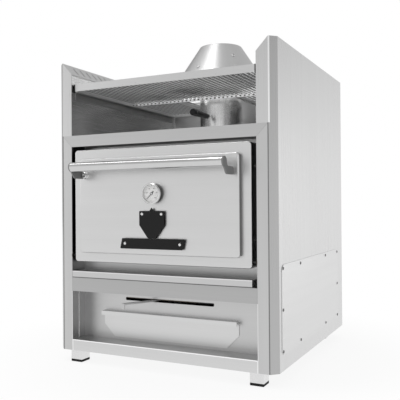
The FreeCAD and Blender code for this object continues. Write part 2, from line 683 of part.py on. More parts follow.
grid_half = f"({FIREBOX_IN} - grid_clear)"
grid_frame = new_body()
grid_edge = rectangle(both_sides(grid_half), inside_depth)
grid_hole = rectangle(grown(both_sides(grid_half), "-grid_bar"), grown(inside_depth, "-grid_bar"))
pad(grid_frame, "XY_Plane", [grid_edge, grid_hole], "grid_height", "grid_height + grid_bar")
piece(grid_frame, "cooking_grid_frame")
grid_step = f"2 * ({grid_half} - grid_bar) / (grid_rod_count + 1)"
rod_level = "grid_height + grid_bar + grid_rod / 2"
grid_rods = []
for index in range(round(number("grid_rod_count"))):
    across = f"({index} - (grid_rod_count - 1) / 2) * {grid_step}"
    grid_rods.append(rod("y", "grid_rod / 2", (across, rod_level), *inside_depth))
piece(group(grid_rods), "cooking_grid_rods")

# Door: skin, liner, insulation, rope seal and raised panel, all bored for the thermometer stem
stem_hole = rod("y", "stem / 2 + running", ("0", DIAL_HEIGHT), DIAL_SEAT, "frame_depth")
door_area = (both_sides(DOOR_SIDE), (DOOR_LOW, DOOR_TOP))
pan = rounded_plate(*door_area, "-door_proud", LINER_FRONT, "door_corner", "door_edge")
pan_hollow = rounded_plate(*(grown(pair, "-sheet") for pair in door_area), "sheet - door_proud",
                           LINER_BACK, "door_corner - sheet")
pin_hole = rod("x", "hinge_pin / 2 + running", ("hinge_back", HINGE_HEIGHT), f"-{INSIDE}", INSIDE)
piece(cut(pan, pan_hollow, pin_hole, stem_hole), "door_skin")
liner = rounded_plate(*door_area, LINER_FRONT, LINER_BACK, "door_corner")
piece(cut(liner, stem_hole), "door_liner")
fill_area = [grown(pair, "-door_fill_gap - sheet") for pair in door_area]
fill = box(fill_area[0], ("sheet - door_proud + slack", f"{LINER_FRONT} - slack"), fill_area[1])
piece(cut(fill, stem_hole), "door_insulation")
seal_inside = [grown(pair, "gasket_margin") for pair in mouth]
seal_outside = [grown(pair, "gasket") for pair in seal_inside]
seal = rounded_plate(*seal_outside, LINER_BACK, "frame_depth - gasket_clear", "door_corner")
seal_hollow = rounded_plate(*seal_inside, LINER_FRONT, "frame_depth", "door_corner - sheet")
piece(cut(seal, seal_hollow), "door_rope_seal")
panel_area = [grown(pair, "-panel_border") for pair in door_area]
panel = rounded_plate(*panel_area, PANEL_FRONT, "-door_proud", "door_corner", "panel_edge")
panel_hollow = rounded_plate(*(grown(pair, "-sheet") for pair in panel_area), f"{PANEL_FRONT} + sheet",
                             "0", "door_corner - sheet")
piece(cut(panel, panel_hollow, stem_hole), "door_raised_panel")

# Hinges: headed pins in the door turn in flanged bushes in the stiles
pins = []
bushes = []
for turn in (180, 0):
    pin = new_body("0", "hinge_back", HINGE_HEIGHT)
    pin.Placement.Rotation = FreeCAD.Rotation(Z, turn)
    revolve(pin, "XZ_Plane", "H_Axis", [
        (f"{DOOR_SIDE} - sheet - hinge_head_length", "0"),
        (f"{DOOR_SIDE} - sheet - hinge_head_length", "hinge_head / 2"),
        (f"{DOOR_SIDE} - sheet", "hinge_head / 2"),
        (f"{DOOR_SIDE} - sheet", "hinge_pin / 2"),
        (f"{INSIDE} + bush_length", "hinge_pin / 2"),
        (f"{INSIDE} + bush_length", "0"),
    ])
    pins.append(pin)
    bush = new_body("0", "hinge_back", HINGE_HEIGHT)
    bush.Placement.Rotation = FreeCAD.Rotation(Z, turn)
    revolve(bush, "XZ_Plane", "H_Axis", [
        (f"{INSIDE} - bush_flange", "hinge_pin / 2 + running"),
        (f"{INSIDE} - bush_flange", f"{BUSH} + bush_wall"),
        (INSIDE, f"{BUSH} + bush_wall"),
        (INSIDE, BUSH),
        (f"{INSIDE} + bush_length", BUSH),
        (f"{INSIDE} + bush_length", "hinge_pin / 2 + running"),
    ])
    bushes.append(bush)
piece(group(pins), "hinge_pins")
piece(group(bushes), "hinge_bushes")

# Handle: tube between two bent brackets on the raised panel, each with a stand-off beside its foot
tube_ends = both_sides(f"({HANDLE_END} - bracket_plate)")
tube = rod("x", "handle_tube / 2", ("-handle_offset", HANDLE_HEIGHT), *tube_ends)
bore_ends = grown(tube_ends, "sheet")
tube_bore = rod("x", "handle_tube / 2 - handle_wall", ("-handle_offset", HANDLE_HEIGHT), *bore_ends)
piece(cut(tube, tube_bore), "handle_tube")
eye = "(handle_tube / 2)"
heel = "(bracket_heel - handle_offset)"
foot_low = f"({HANDLE_HEIGHT} - bracket_drop)"
foot_high = f"({foot_low} + bracket_foot)"
ROUNDED_CORNERS = (
    ("bracket_bend", ((heel, foot_low), (f"{eye} - handle_offset", foot_high))),
    ("bracket_tip", ((PANEL_FRONT, foot_low), (PANEL_FRONT, foot_high))),
)


def edges_at(corners):
    """Pick the edges along x that stand on given corners of a side view."""
    spots = [(number(along), number(up)) for along, up in corners]

    def at_corner(edge):
        middle = edge.CenterOfMass
        near = any(abs(middle.y - along) < NEAR and abs(middle.z - up) < NEAR for along, up in spots)
        return near and runs_along(X)(edge)

    return at_corner


standoffs = []
for side_name, side in (("left", "-1"), ("right", "1")):
    across = sorted((f"{side} * {HANDLE_END}", f"{side} * ({HANDLE_END} - bracket_plate)"), key=number)
    bracket = new_body()
    pad(bracket, "YZ_Plane", [[
        (f"-handle_offset - {eye}", HANDLE_HEIGHT),
        (heel, foot_low),
        (PANEL_FRONT, foot_low),
        (PANEL_FRONT, foot_high),
        (f"{eye} - handle_offset", foot_high),
        (f"{eye} - handle_offset", HANDLE_HEIGHT),
    ]], *across)
    for radius, corners in ROUNDED_CORNERS:
        soften(bracket, "Fillet", "Radius", radius, edges_at(corners))
    pad(bracket, "YZ_Plane", [("-handle_offset", HANDLE_HEIGHT, eye)], *across)
    piece(bracket, f"{side_name}_handle_bracket")
    spot = (f"{side} * ({HANDLE_END} - bracket_plate - standoff / 2)", f"{foot_low} + bracket_foot / 2")
    standoffs.append(rod("y", "standoff / 2", spot, f"{PANEL_FRONT} - standoff_length", PANEL_FRONT))
piece(group(standoffs), "handle_standoffs")

# Thermometer: turned case, dial, pointer on an arbor, lens and stem
dial_bore = "dial_case / 2 - dial_rim"
case = new_body("0", "0", DIAL_HEIGHT)
revolve(case, "YZ_Plane", "H_Axis", [
    (PANEL_FRONT, "stem / 2 + running"),
    (PANEL_FRONT, "dial_neck / 2"),
    (DIAL_BACK, "dial_neck / 2"),
    (DIAL_BACK, "dial_case / 2 - dial_rim / 2"),
    (f"{DIAL_SEAT} - dial_plate", "dial_case / 2"),
    (f"{DIAL_FRONT} + dial_rim / 2", "dial_case / 2"),
    (DIAL_FRONT, "dial_case / 2 - dial_rim / 2"),
    (DIAL_FRONT, dial_bore),
    (DIAL_SEAT, dial_bore),
    (DIAL_SEAT, "stem / 2 + running"),
])
piece(case, "thermometer_case")
disc = rod("y", f"{dial_bore} - running", ("0", DIAL_HEIGHT), DIAL_FACE, DIAL_SEAT)
disc_hole = rod("y", "arbor / 2 + running", ("0", DIAL_HEIGHT), DIAL_FRONT, PANEL_FRONT)
piece(cut(disc, disc_hole), "thermometer_dial")
lens_front = f"({DIAL_FRONT} + lens_recess)"
lens = rod("y", f"{dial_bore} - running", ("0", DIAL_HEIGHT), lens_front, f"{lens_front} + lens_plate")
piece(lens, "thermometer_lens")
stem = new_body("0", "0", DIAL_HEIGHT)
revolve(stem, "YZ_Plane", "H_Axis", [
    (f"{POINTER_BACK} - 2 * pointer_plate", "0"),
    (f"{POINTER_BACK} - 2 * pointer_plate", "arbor / 2"),
    (DIAL_SEAT, "arbor / 2"),
    (DIAL_SEAT, "stem / 2"),
    ("frame_depth + stem_reach - stem / 2", "stem / 2"),
    ("frame_depth + stem_reach", "stem / 4"),
    ("frame_depth + stem_reach", "0"),
])
piece(stem, "thermometer_stem")
pointer = new_body("0", "0", DIAL_HEIGHT, (FreeCAD.Vector(0, -1, 0), "pointer_angle * -1"))
pad(pointer, "XZ_Plane", [[
    ("-arbor / 2", "0"),
    ("-arbor * 0.8", "-pointer_tail"),
    ("arbor * 0.8", "-pointer_tail"),
    ("arbor / 2", "0"),
    ("arbor / 8", "pointer_length"),
    ("-arbor / 8", "pointer_length"),
]], f"{POINTER_BACK} - pointer_plate", POINTER_BACK)
pad(pointer, "XZ_Plane", [("0", "0", "pointer_hub / 2")], f"{POINTER_BACK} - pointer_plate", POINTER_BACK)
arbor_hole = ("0", "0", "arbor / 2 + running")
pocket(pointer, "XZ_Plane", [arbor_hole], f"{POINTER_BACK} - pointer_plate", POINTER_BACK)
piece(pointer, "thermometer_pointer")

# Blank black plates on the raised panel, each rivet a head in front of the plate and a spacer behind it
name_left, name_right = "(badge_shift - name_width / 2)", "(badge_shift + name_width / 2)"
crest_left, crest_right = "(badge_shift - crest_width / 2)", "(badge_shift + crest_width / 2)"
BLACK_PLATES = {
    "name_plate": [
        (f"{name_left} - name_slant / 2", NAME_LOW),
        (f"{name_right} - name_slant / 2", NAME_LOW),
        (f"{name_right} + name_slant / 2", NAME_HIGH),
        (f"{name_left} + name_slant / 2", NAME_HIGH),
    ],
    "badge_plate": [
        (f"{crest_left} + crest_cut", CREST_LOW),
        (f"{crest_right} - crest_cut", CREST_LOW),
        (crest_right, f"{CREST_LOW} + crest_rise"),
        (crest_right, CREST_HIGH),
        (crest_left, CREST_HIGH),
        (crest_left, f"{CREST_LOW} + crest_rise"),
    ],
}
for plate_name, corners in BLACK_PLATES.items():
    blank = new_body()
    pad(blank, "XZ_Plane", [corners], BADGE_FRONT, BADGE_BACK)
    soften(blank, "Fillet", "Radius", "plate_corner", runs_along(Y))
    piece(blank, plate_name)
name_middle = f"({NAME_LOW} + {NAME_HIGH}) / 2"
rivet_spots = [(f"{name_left} + rivet_inset", name_middle), (f"{name_right} - rivet_inset", name_middle)]
for across in (f"{crest_left} + crest_inset", f"{crest_right} - crest_inset"):
    rivet_spots.append((across, f"{CREST_HIGH} - crest_inset"))
rivets = []
for centre in rivet_spots:
    rivets.append(rod("y", "rivet / 2", centre, f"{BADGE_FRONT} - badge_plate / 2", BADGE_FRONT))
    rivets.append(rod("y", "rivet / 2", centre, BADGE_BACK, PANEL_FRONT))
piece(group(rivets), "plate_rivets")

# Drip tray under the door
tray_across = both_sides(f"({INSIDE} - tray_gap)")
tray_along = ("-tray_proud", "frame_depth - tray_back")
tray_low = "(mid_rail_top + slack)"
tray_top = f"{tray_low} + tray_height"
tray_inside = grown(tray_across, "-sheet")
tray = new_body()
pad(tray, "XY_Plane", [rectangle(tray_across, tray_along)], tray_low, tray_top)
trough = rectangle(tray_inside, ("0", f"{tray_along[1]} - sheet"))
pocket(tray, "XY_Plane", [trough], f"{tray_low} + sheet", tray_top)
lip_inside = rectangle(tray_inside, ("sheet - tray_proud", "sheet"))
pocket(tray, "XY_Plane", [lip_inside], f"{tray_low} + tray_shadow + sheet", tray_top)
tray_notch = box(grown(tray_across, "sheet"), ("-tray_proud - sheet", "-sheet"),
                 (f"{tray_low} - sheet", f"{tray_low} + tray_shadow"))
piece(cut(tray, tray_notch), "drip_tray")

# Ash drawer: cut-cornered front, folded grip and box, on two guides
ash_half = "(ash_width / 2)"
ash_front = f"({ASH_FACE} - sheet)"
ash_corner = "(ash_width / 2 - ash_cut)"
drawer = new_body()
pad(drawer, "XZ_Plane", [[
    (f"-{ash_half}", "ash_high"),
    (ash_half, "ash_high"),
    (ash_half, "ash_low + ash_cut"),
    (ash_corner, "ash_low"),
    (f"-{ash_corner}", "ash_low"),
    (f"-{ash_half}", "ash_low + ash_cut"),
]], ash_front, ASH_FACE)
pad(drawer, "YZ_Plane", [[
    (ash_front, "ash_high"),
    (f"{ash_front} - ash_grip", "ash_high"),
    (f"{ash_front} - ash_grip", "ash_high - ash_lip"),
    (f"{ash_front} - ash_grip + sheet", "ash_high - ash_lip"),
    (f"{ash_front} - ash_grip + sheet", "ash_high - sheet"),
    (ash_front, "ash_high - sheet"),
]], f"-{ash_half}", ash_half)
ash_across = both_sides("(ash_box_width / 2)")
pad(drawer, "XY_Plane", [rectangle(ash_across, (ASH_FACE, ASH_BACK))], "ash_box_low", "ash_box_high")
pocket(drawer, "XY_Plane", [rectangle(grown(ash_across, "-sheet"), (ASH_FACE, f"{ASH_BACK} - sheet"))],
       "ash_box_low + sheet", "ash_box_high")
piece(drawer, "ash_drawer")
guide_web = "(ash_box_width / 2 + guide_side)"
guides = []
for side in ("-1", "1"):
    guide = new_body()
    pad(guide, "XZ_Plane", [mirrored(side, [
        (f"{guide_web} + sheet", "sheet"),
        (f"{guide_web} + sheet", "guide_height"),
        (guide_web, "guide_height"),
        (guide_web, GUIDE_TOP),
        (f"{guide_web} - guide_tread", GUIDE_TOP),
        (f"{guide_web} - guide_tread", f"{GUIDE_TOP} - sheet"),
        (guide_web, f"{GUIDE_TOP} - sheet"),
        (guide_web, "sheet"),
    ])], PLATE_BACK, ASH_BACK)
    guides.append(guide)
piece(group(guides), "drawer_guides")

# Draft lever with its shutter, on a headed pivot under the firebox floor
lever_top = f"{LEVER_LOW} + lever_plate"
lever = new_body("0", LEVER_PIVOT, "0", (FreeCAD.Vector(0, 0, -1), "lever_angle * -1"))
tongue = both_sides("(lever_width / 2)")
pad(lever, "XY_Plane", [rectangle(tongue, ("-lever_length", "shutter_back"))], LEVER_LOW, lever_top)
pad(lever, "XY_Plane", [("0", "0", "lever_hub / 2")], LEVER_LOW, lever_top)
pad(lever, "XY_Plane", [("0", "shutter_back", "shutter / 2")], LEVER_LOW, lever_top)
tip = rectangle(tongue, ("-lever_length", "lever_plate - lever_length"))
pad(lever, "XY_Plane", [tip], f"{LEVER_LOW} - lever_drop", lever_top)
pocket(lever, "XY_Plane", [("0", "0", "lever_pin / 2 + running")], LEVER_LOW, lever_top)
piece(lever, "draft_lever")
pivot = new_body("0", LEVER_PIVOT, "0")
revolve(pivot, "XZ_Plane", "V_Axis", [
    ("0", f"{LEVER_LOW} - lever_plate"),
    ("lever_pin_head / 2", f"{LEVER_LOW} - lever_plate"),
    ("lever_pin_head / 2", f"{LEVER_LOW} - slack"),
    ("lever_pin / 2", f"{LEVER_LOW} - slack"),
    ("lever_pin / 2", FIREBOX_LOW),
    ("0", FIREBOX_LOW),
])
piece(pivot, "lever_pivot_pin")

# Warming rack: lip, bars round the flue notch and rods, on two wall angles
notch = "(notch_width / 2)"
bars = (RACK_BAR_LOW, RACK_BAR_TOP)
rack_inner = "rack_front + sheet"
rack_frame = [
    box(both_sides(RACK_SIDE), ("rack_front", rack_inner), (RACK_LOW, RACK_HIGH)),
    box(both_sides(RACK_SIDE), ("notch_front", "notch_front + rack_bar"), bars),
]
for side in ("-1", "1"):
    outer = sorted((f"{side} * {RACK_SIDE}", f"{side} * ({RACK_SIDE} - rack_bar)"), key=number)
    edge = sorted((f"{side} * {notch}", f"{side} * ({notch} + rack_bar)"), key=number)
    rear = sorted((f"{side} * {RACK_SIDE}", f"{side} * {notch}"), key=number)
    rack_frame.append(box(outer, (rack_inner, RACK_REAR), bars))
    rack_frame.append(box(edge, ("notch_front + rack_bar", RACK_REAR), bars))
    rack_frame.append(box(rear, (f"{RACK_REAR} - rack_bar", RACK_REAR), bars))
piece(fuse(*rack_frame), "rack_frame")
rack_step = f"2 * ({RACK_SIDE} - rack_bar) / (rack_rod_count - 1)"
rack_level = f"{RACK_BAR_TOP} + rack_rod_seat + rack_rod / 2"
rack_groups = {"rack_rods_left": [], "rack_rods_middle": [], "rack_rods_right": []}
for index in range(round(number("rack_rod_count"))):
    across = f"({index} - (rack_rod_count - 1) / 2) * {rack_step}"
    beside = number(across) / number(notch)
    end = RACK_REAR if abs(beside) > 1 else "notch_front + rack_bar"
    where = "middle" if abs(beside) <= 1 else "left" if beside < 0 else "right"
    rack_groups[f"rack_rods_{where}"].append(rod("y", "rack_rod / 2", (across, rack_level), rack_inner, end))
for group_name, rods in rack_groups.items():
    piece(group(rods), group_name)
angle_top = f"({RACK_BAR_LOW} - slack)"
angles = []
for side in ("-1", "1"):
    angle = new_body()
    pad(angle, "XZ_Plane", [mirrored(side, [
        (INSIDE, f"{angle_top} - angle_drop"),
        (INSIDE, angle_top),
        (f"{INSIDE} - angle_tread", angle_top),
        (f"{INSIDE} - angle_tread", f"{angle_top} - sheet"),
        (f"{INSIDE} - sheet", f"{angle_top} - sheet"),
        (f"{INSIDE} - sheet", f"{angle_top} - angle_drop"),
    ])], "angle_inset", RACK_REAR)
    angles.append(angle)
piece(group(angles), "rack_angles")

# Flue: pipe, draught hood on straps, outlet collar and damper
shaft_line = ("0", DAMPER_HEIGHT)
shaft_hole = rod("y", "damper_shaft / 2 + running", shaft_line, "flue_back - flue", "flue_back + flue")
pipe = rod("z", "flue / 2", ("0", "flue_back"), FIREBOX_TOP, FLUE_TOP)
pipe_bore = rod("z", "flue / 2 - sheet", ("0", "flue_back"), f"{FIREBOX_TOP} - sheet", f"{FLUE_TOP} + sheet")
piece(cut(pipe, pipe_bore, shaft_hole), "flue_pipe")

hood_in_top = f"({OUTLET_OUTER} + running)"
hood_slope = f"((hood_base / 2 - {hood_in_top} - sheet) / hood_height)"
hood_skin = f"(sheet * sqrt(1 + {hood_slope}^2))"


def hood_inside(level):
    """Inner radius of the hood at a height."""
    return f"({hood_in_top} + {hood_slope} * ({HOOD_TOP} - ({level})))"


hood = new_body("0", "flue_back", "0")
revolve(hood, "XZ_Plane", "V_Axis", [
    (hood_in_top, HOOD_TOP),
    (f"{hood_in_top} + {hood_skin}", HOOD_TOP),
    (f"{hood_inside(HOOD_LOW)} + {hood_skin}", HOOD_LOW),
    (hood_inside(HOOD_LOW), HOOD_LOW),
])
piece(hood, "draught_hood")
collar = new_body("0", "flue_back", "0")
collar_rise = (f"{HOOD_TOP} - outlet_length", HOOD_TOP)
revolve(collar, "XZ_Plane", "V_Axis", rectangle(("outlet / 2", OUTLET_OUTER), collar_rise))
piece(collar, "flue_outlet_collar")
strap_in = "(flue / 2 + strap_gap)"
strap_under = f"{STRAP_HIGH} - sheet"
straps = []
bolts = []
for index in range(round(number("strap_count"))):
    turn = number(f"strap_angle + {index} * 360 / strap_count")
    strap = new_body("0", "flue_back", "0")
    strap.Placement.Rotation = FreeCAD.Rotation(Z, turn)
    pad(strap, "XZ_Plane", [[
        (strap_in, STRAP_LOW),
        (strap_in, STRAP_HIGH),
        (f"{hood_inside(STRAP_HIGH)} - strap_gap", STRAP_HIGH),
        (f"{hood_inside(STRAP_LOW)} - strap_gap", STRAP_LOW),
        (f"{hood_inside(STRAP_LOW)} - strap_gap - {hood_skin}", STRAP_LOW),
        (f"{hood_inside(strap_under)} - strap_gap - {hood_skin}", strap_under),
        (f"{strap_in} + sheet", strap_under),
        (f"{strap_in} + sheet", STRAP_LOW),
    ]], "-strap_width / 2", "strap_width / 2")
    straps.append(strap)
    bolt_level = f"({STRAP_LOW} + {STRAP_HIGH}) / 2"
    reach = f"({hood_inside(bolt_level)} + {hood_skin})"
    bolt = rod("z", "bolt_head / 2", ("0", "0"), "0", "bolt_height")
    lean = number(f"90 deg - atan({hood_slope})")
    bolt.Placement.Rotation = FreeCAD.Rotation(Z, turn) * FreeCAD.Rotation(Y, lean)
    set_down(bolt, f"{reach} * cos({turn})", f"flue_back + {reach} * sin({turn})", bolt_level)
    bolts.append(bolt)
piece(group(straps), "hood_straps")
piece(group(bolts), "hood_bolts")

blade = rod("x", "flue / 2 - sheet - damper_clear", ("flue_back", DAMPER_HEIGHT), "-sheet / 2", "sheet / 2")
blade_slot = rod("y", "damper_shaft / 2", ("0", DAMPER_HEIGHT), "flue_back - flue", "flue_back + flue")
piece(cut(blade, blade_slot), "damper_blade")
crank_end = ("-crank", f"{DAMPER_HEIGHT} - crank_drop")
crank_angle = "atan(crank_drop / crank)"
crank_rod = rod("x", "damper_shaft / 2", (DAMPER_FRONT, DAMPER_HEIGHT), "0", f"crank / cos({crank_angle})")
crank_rod.Placement.Rotation = FreeCAD.Rotation(Y, 270 - number(crank_angle))
set_down(crank_rod, "0", DAMPER_FRONT, DAMPER_HEIGHT)
shaft = fuse(
    rod("y", "damper_shaft / 2", ("0", DAMPER_HEIGHT), DAMPER_FRONT, "flue_back + flue / 2 + damper_rear"),
    ball("damper_shaft / 2", ("0", DAMPER_FRONT, DAMPER_HEIGHT)),
    crank_rod,
    ball("damper_shaft / 2", (crank_end[0], DAMPER_FRONT, crank_end[1])),
    rod("y", "damper_shaft / 2", crank_end, GRIP_BACK, DAMPER_FRONT),
)
piece(shaft, "damper_shaft")
grip = new_body(crank_end[0], GRIP_BACK, crank_end[1])
knob = "(grip_knob - grip_length)"
revolve(grip, "YZ_Plane", "H_Axis", [
    ("0", "0"),
    ("0", "grip_small / 2 - grip_groove"),
    ("-grip_groove", "grip_small / 2"),
    (f"{knob} + grip_groove", "grip_large / 2"),
    (f"{knob} + grip_groove", "grip_large / 2 - grip_groove"),
    (knob, "grip_large / 2 - grip_groove"),
    (knob, "grip_large / 2"),
    ("grip_groove - grip_length", "grip_large / 2"),
    ("-grip_length", "grip_large / 2 - grip_groove"),
    ("-grip_length", "0"),
])
piece(grip, "damper_grip")

# Access cover on the right wall, with its screws
cover_along = ("cover_front", "depth - cover_back")
cover_edge = rectangle(cover_along, ("cover_low", "cover_high"))
cover_face = "width / 2 + cover_plate"
cover = new_body()
pad(cover, "YZ_Plane", [cover_edge], "width / 2", cover_face)
soften(cover, "Fillet", "Radius", "cover_corner", runs_along(X))
piece(cover, "access_cover")
first, last = "cover_front + screw_inset", "depth - cover_back - screw_inset"
screw_low, screw_high = "cover_low + screw_inset", "cover_high - screw_inset"
spots = [(along, up) for up in (screw_low, screw_high)
         for along in (first, f"{first} + screw_side", f"{last} - screw_side", last)]
spots += [(along, "(cover_low + cover_high) / 2") for along in (first, last)]
screws = [rod("x", "screw / 2", spot, cover_face, f"{cover_face} + screw_height") for spot in spots]
piece(group(screws), "cover_screws")

doc.recompute()
for item in doc.Objects:
    if "Invalid" in item.State or "Error" in item.State:
        raise RuntimeError(f"{item.Label} did not build: {item.State}")
os.makedirs("parts", exist_ok=True)
for item in pieces:
    if item.Shape.isNull() or not item.Shape.isValid():
        raise RuntimeError(f"{item.Label} is not a valid shape")
    item.Shape.exportStep(f"parts/{item.Label}.step")
print(len(pieces), "pieces")
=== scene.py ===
# %% [markdown]
# # A countertop charcoal oven in brushed stainless steel
# The oven is folded from sheet steel: two boxed side walls, a face frame with a drop-down door, a niche with
# a draft lever and an ash drawer, a warming rack on top, and a flue under a cone-shaped draught hood.
# The solids come packed, already in their places and already split into the bodies that move.
# This lesson dresses them: it gives every solid a finish, adds the small parts that a solid model leaves
# out, and sets up a studio and a camera. Loading comes first, because every later step asks the frame where
# things are.

# %% Load the frame
import math

import bmesh
import bpy
from mathutils import Matrix, Vector


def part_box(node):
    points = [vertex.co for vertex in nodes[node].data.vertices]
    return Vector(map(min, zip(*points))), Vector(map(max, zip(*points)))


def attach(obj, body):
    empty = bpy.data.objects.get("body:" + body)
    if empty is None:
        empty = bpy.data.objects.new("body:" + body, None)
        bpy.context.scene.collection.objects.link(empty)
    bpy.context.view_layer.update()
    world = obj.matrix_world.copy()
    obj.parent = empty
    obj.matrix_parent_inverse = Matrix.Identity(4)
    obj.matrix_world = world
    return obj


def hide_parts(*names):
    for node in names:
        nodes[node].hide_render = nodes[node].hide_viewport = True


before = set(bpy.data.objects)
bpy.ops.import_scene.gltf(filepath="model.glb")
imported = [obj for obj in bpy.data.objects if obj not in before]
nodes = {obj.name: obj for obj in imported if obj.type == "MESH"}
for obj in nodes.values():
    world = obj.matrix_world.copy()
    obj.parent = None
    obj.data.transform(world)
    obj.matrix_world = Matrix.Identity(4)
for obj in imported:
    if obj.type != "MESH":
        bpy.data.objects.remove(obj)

scene = bpy.context.scene
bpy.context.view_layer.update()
MM = 0.001
front_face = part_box("face_frame")[0].y
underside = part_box("base_plate")[0].z


def at(x, y, z):
    """Place from millimetres across from the middle, back from the front face and up from the underside."""
    return Vector((x * MM, front_face + y * MM, underside + z * MM))


def middle(solid):
    """Middle of a solid's box."""
    low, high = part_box(solid)
    return (low + high) / 2


def shown(name, data):
    """New object in the scene."""
    thing = bpy.data.objects.new(name, data)
    scene.collection.objects.link(thing)
    return thing


# %% [markdown]
# ## The camera
# The picture was taken from the right of the oven at about the height of the door, with a normal lens.
# A camera could be aimed with a Track To constraint, but a constraint keeps working later and hides the
# numbers. Here the view is built from three plain angles, so each one can be read and changed.

# %% Camera
PICTURE, SENSOR = 400, 36
FOCAL_PIXELS = 602.4
CAMERA_SPOT = at(888.6, -1510.0, 455.9)
YAW, PITCH, ROLL = (math.radians(angle) for angle in (26.4, 0.3, -0.4))

reach = math.cos(PITCH)
forward = Vector((-math.sin(YAW) * reach, math.cos(YAW) * reach, math.sin(PITCH)))
level = Vector((math.cos(YAW), math.sin(YAW), 0))
across = level * math.cos(ROLL) + level.cross(forward) * math.sin(ROLL)
above = across.cross(forward)
camera_data = bpy.data.cameras.new("picture_camera")
camera_data.sensor_width = SENSOR
camera_data.lens = FOCAL_PIXELS / PICTURE * SENSOR
camera = shown("picture_camera", camera_data)
camera_turn = Matrix((across, above, -forward)).transposed().to_4x4()
camera.matrix_world = Matrix.Translation(CAMERA_SPOT) @ camera_turn
scene.camera = camera
print("camera with a", round(camera_data.lens, 1), "mm lens")

# %% [markdown]
# ## Writing node trees as arithmetic
# Finishes and repeated parts are both node trees. Wiring them by hand takes many lines, so a small class
# wraps a socket and lets plus, minus and times stand for Math nodes. A second class makes every other kind
# of node with one method: settings first, because they can change which sockets a node has, then the values
# or links.

# %% Sockets that can be added and multiplied
class Wire:
    """One socket of a node tree. Arithmetic on it adds the Math nodes that work it out."""

    def __init__(self, board, socket):
        self.board = board
        self.socket = socket

    def also(self, name):
        """Another output of the same node."""
        return Wire(self.board, self.socket.node.outputs[name])

    def math(self, operation, *terms):
        return self.board.node("ShaderNodeMath", {"operation": operation}, dict(enumerate(terms)))

    def __add__(self, other):
        return self.math("ADD", self, other)

    def __sub__(self, other):
        return self.math("SUBTRACT", self, other)

    def __rsub__(self, other):
        return self.math("SUBTRACT", other, self)

    def __mul__(self, other):
        return self.math("MULTIPLY", self, other)

    def __truediv__(self, other):
        return self.math("DIVIDE", self, other)

    def __lt__(self, other):
        return self.math("LESS_THAN", self, other)

    def __gt__(self, other):
        return self.math("GREATER_THAN", self, other)

    def __abs__(self):
        return self.math("ABSOLUTE", self)

    __radd__ = __add__
    __rmul__ = __mul__


class Board:
    """A node tree that is filled from Python."""

    def __init__(self, tree):
        self.tree = tree

    def node(self, kind, settings=None, sockets=None, result=0):
        """Add a node: its settings first, then its sockets' values or links. Gives one of its outputs."""
        made = self.tree.nodes.new(kind)
        for name, value in (settings or {}).items():
            setattr(made, name, value)
        for key, value in (sockets or {}).items():
            if isinstance(value, Wire):
                self.tree.links.new(value.socket, made.inputs[key])
            else:
                made.inputs[key].default_value = value
        return Wire(self, made.outputs[result]) if made.outputs else None


print("node tools ready")

# %% [markdown]
# ## Patterns that finishes share
# Brushed steel is covered in fine parallel scratches. A noise texture that is drawn out along one axis looks
# just like that, and two sizes of it together avoid a printed look. The patterns read Object coordinates, so
# they keep their real size on every piece and stay put when a body moves.

# %% Shared patterns
def new_finish(name):
    material = bpy.data.materials.new(name)
    material.use_nodes = True
    material.node_tree.nodes.clear()
    return material, Board(material.node_tree)


def close_finish(board, **sockets):
    """End a finish in a Principled shader. Underscores in a socket's name stand for spaces."""
    named = {key.replace("_", " "): value for key, value in sockets.items()}
    shader = board.node("ShaderNodeBsdfPrincipled", {}, named)
    board.node("ShaderNodeOutputMaterial", {}, {"Surface": shader})


def place(board):
    return board.node("ShaderNodeTexCoord", {}, {}, "Object")


def parted(board, where):
    """The three numbers of a place: the wire itself is X, and Y and Z are also there."""
    return board.node("ShaderNodeSeparateXYZ", {}, {"Vector": where})


def speckle(board, where, scale, detail=2.0):
    return board.node("ShaderNodeTexNoise", {}, {"Vector": where, "Scale": scale, "Detail": detail})


def scratches(board, where, axis, along, over):
    """Noise drawn out along one axis, with its density per metre along and across the scratches."""
    density = [over, over, over]
    density["xyz".index(axis)] = along
    stretched = board.node("ShaderNodeMapping", {}, {"Vector": where, "Scale": density})
    return speckle(board, stretched, 1.0, 3.0)


def swing(share, pattern):
    """A share of a pattern, as more or less than its mean."""
    return share * (pattern - 0.5)


def fade(board, value, low, high):
    """Smooth step from 0 at low to 1 at high."""
    return board.node("ShaderNodeMapRange", {"interpolation_type": "SMOOTHSTEP"},
                      {"Value": value, "From Min": low, "From Max": high})


def grey(board, shade, warmth=0.0):
    """Neutral colour from a value, a little warmer or cooler where asked."""
    channels = {"Red": shade * (1 + warmth), "Green": shade, "Blue": shade * (1 - warmth)}
    return board.node("ShaderNodeCombineColor", {}, channels)


def relief(board, height, strength, depth):
    return board.node("ShaderNodeBump", {}, {"Strength": strength, "Distance": depth, "Height": height})


def close_metal(board, shade, rough, height, strength, depth, warmth=0.0):
    """End a finish as bare metal with a relief."""
    close_finish(board, Base_Color=grey(board, shade, warmth), Metallic=1.0, Roughness=rough,
                 Normal=relief(board, height, strength, depth))


print("patterns ready")

# %% [markdown]
# ## Brushed stainless steel
# Nearly every panel is stainless sheet brushed in one direction. The grain runs along the longer side of
# each panel, as it does when strips are cut from a brushed coil. Tone and roughness both follow the
# scratches, and a slow cloud stands for handling marks. An anisotropic shader could do part of this, but it
# needs tangents that loose CAD triangles don't have, and the drawn-out noise exports as plain textures.
# Where light or shade is painted in, a function of position gives a factor for the tone.

# %% Brushed steel
FINE, LONG, CLOUD = (5, 800), (0.9, 38), 3.0
STEEL_TONE, STEEL_ROUGHNESS = 0.56, 0.36
SHARES, STREAKED, SMOKED = (0.08, 0.08, 0.04), (0.08, 0.2, 0.04), (0.08, 0.4, 0.04)
FINE_ROUGH, CLOUD_ROUGH = 0.1, 0.08
BRUSH_RELIEF = (0.08, 0.3 * MM)


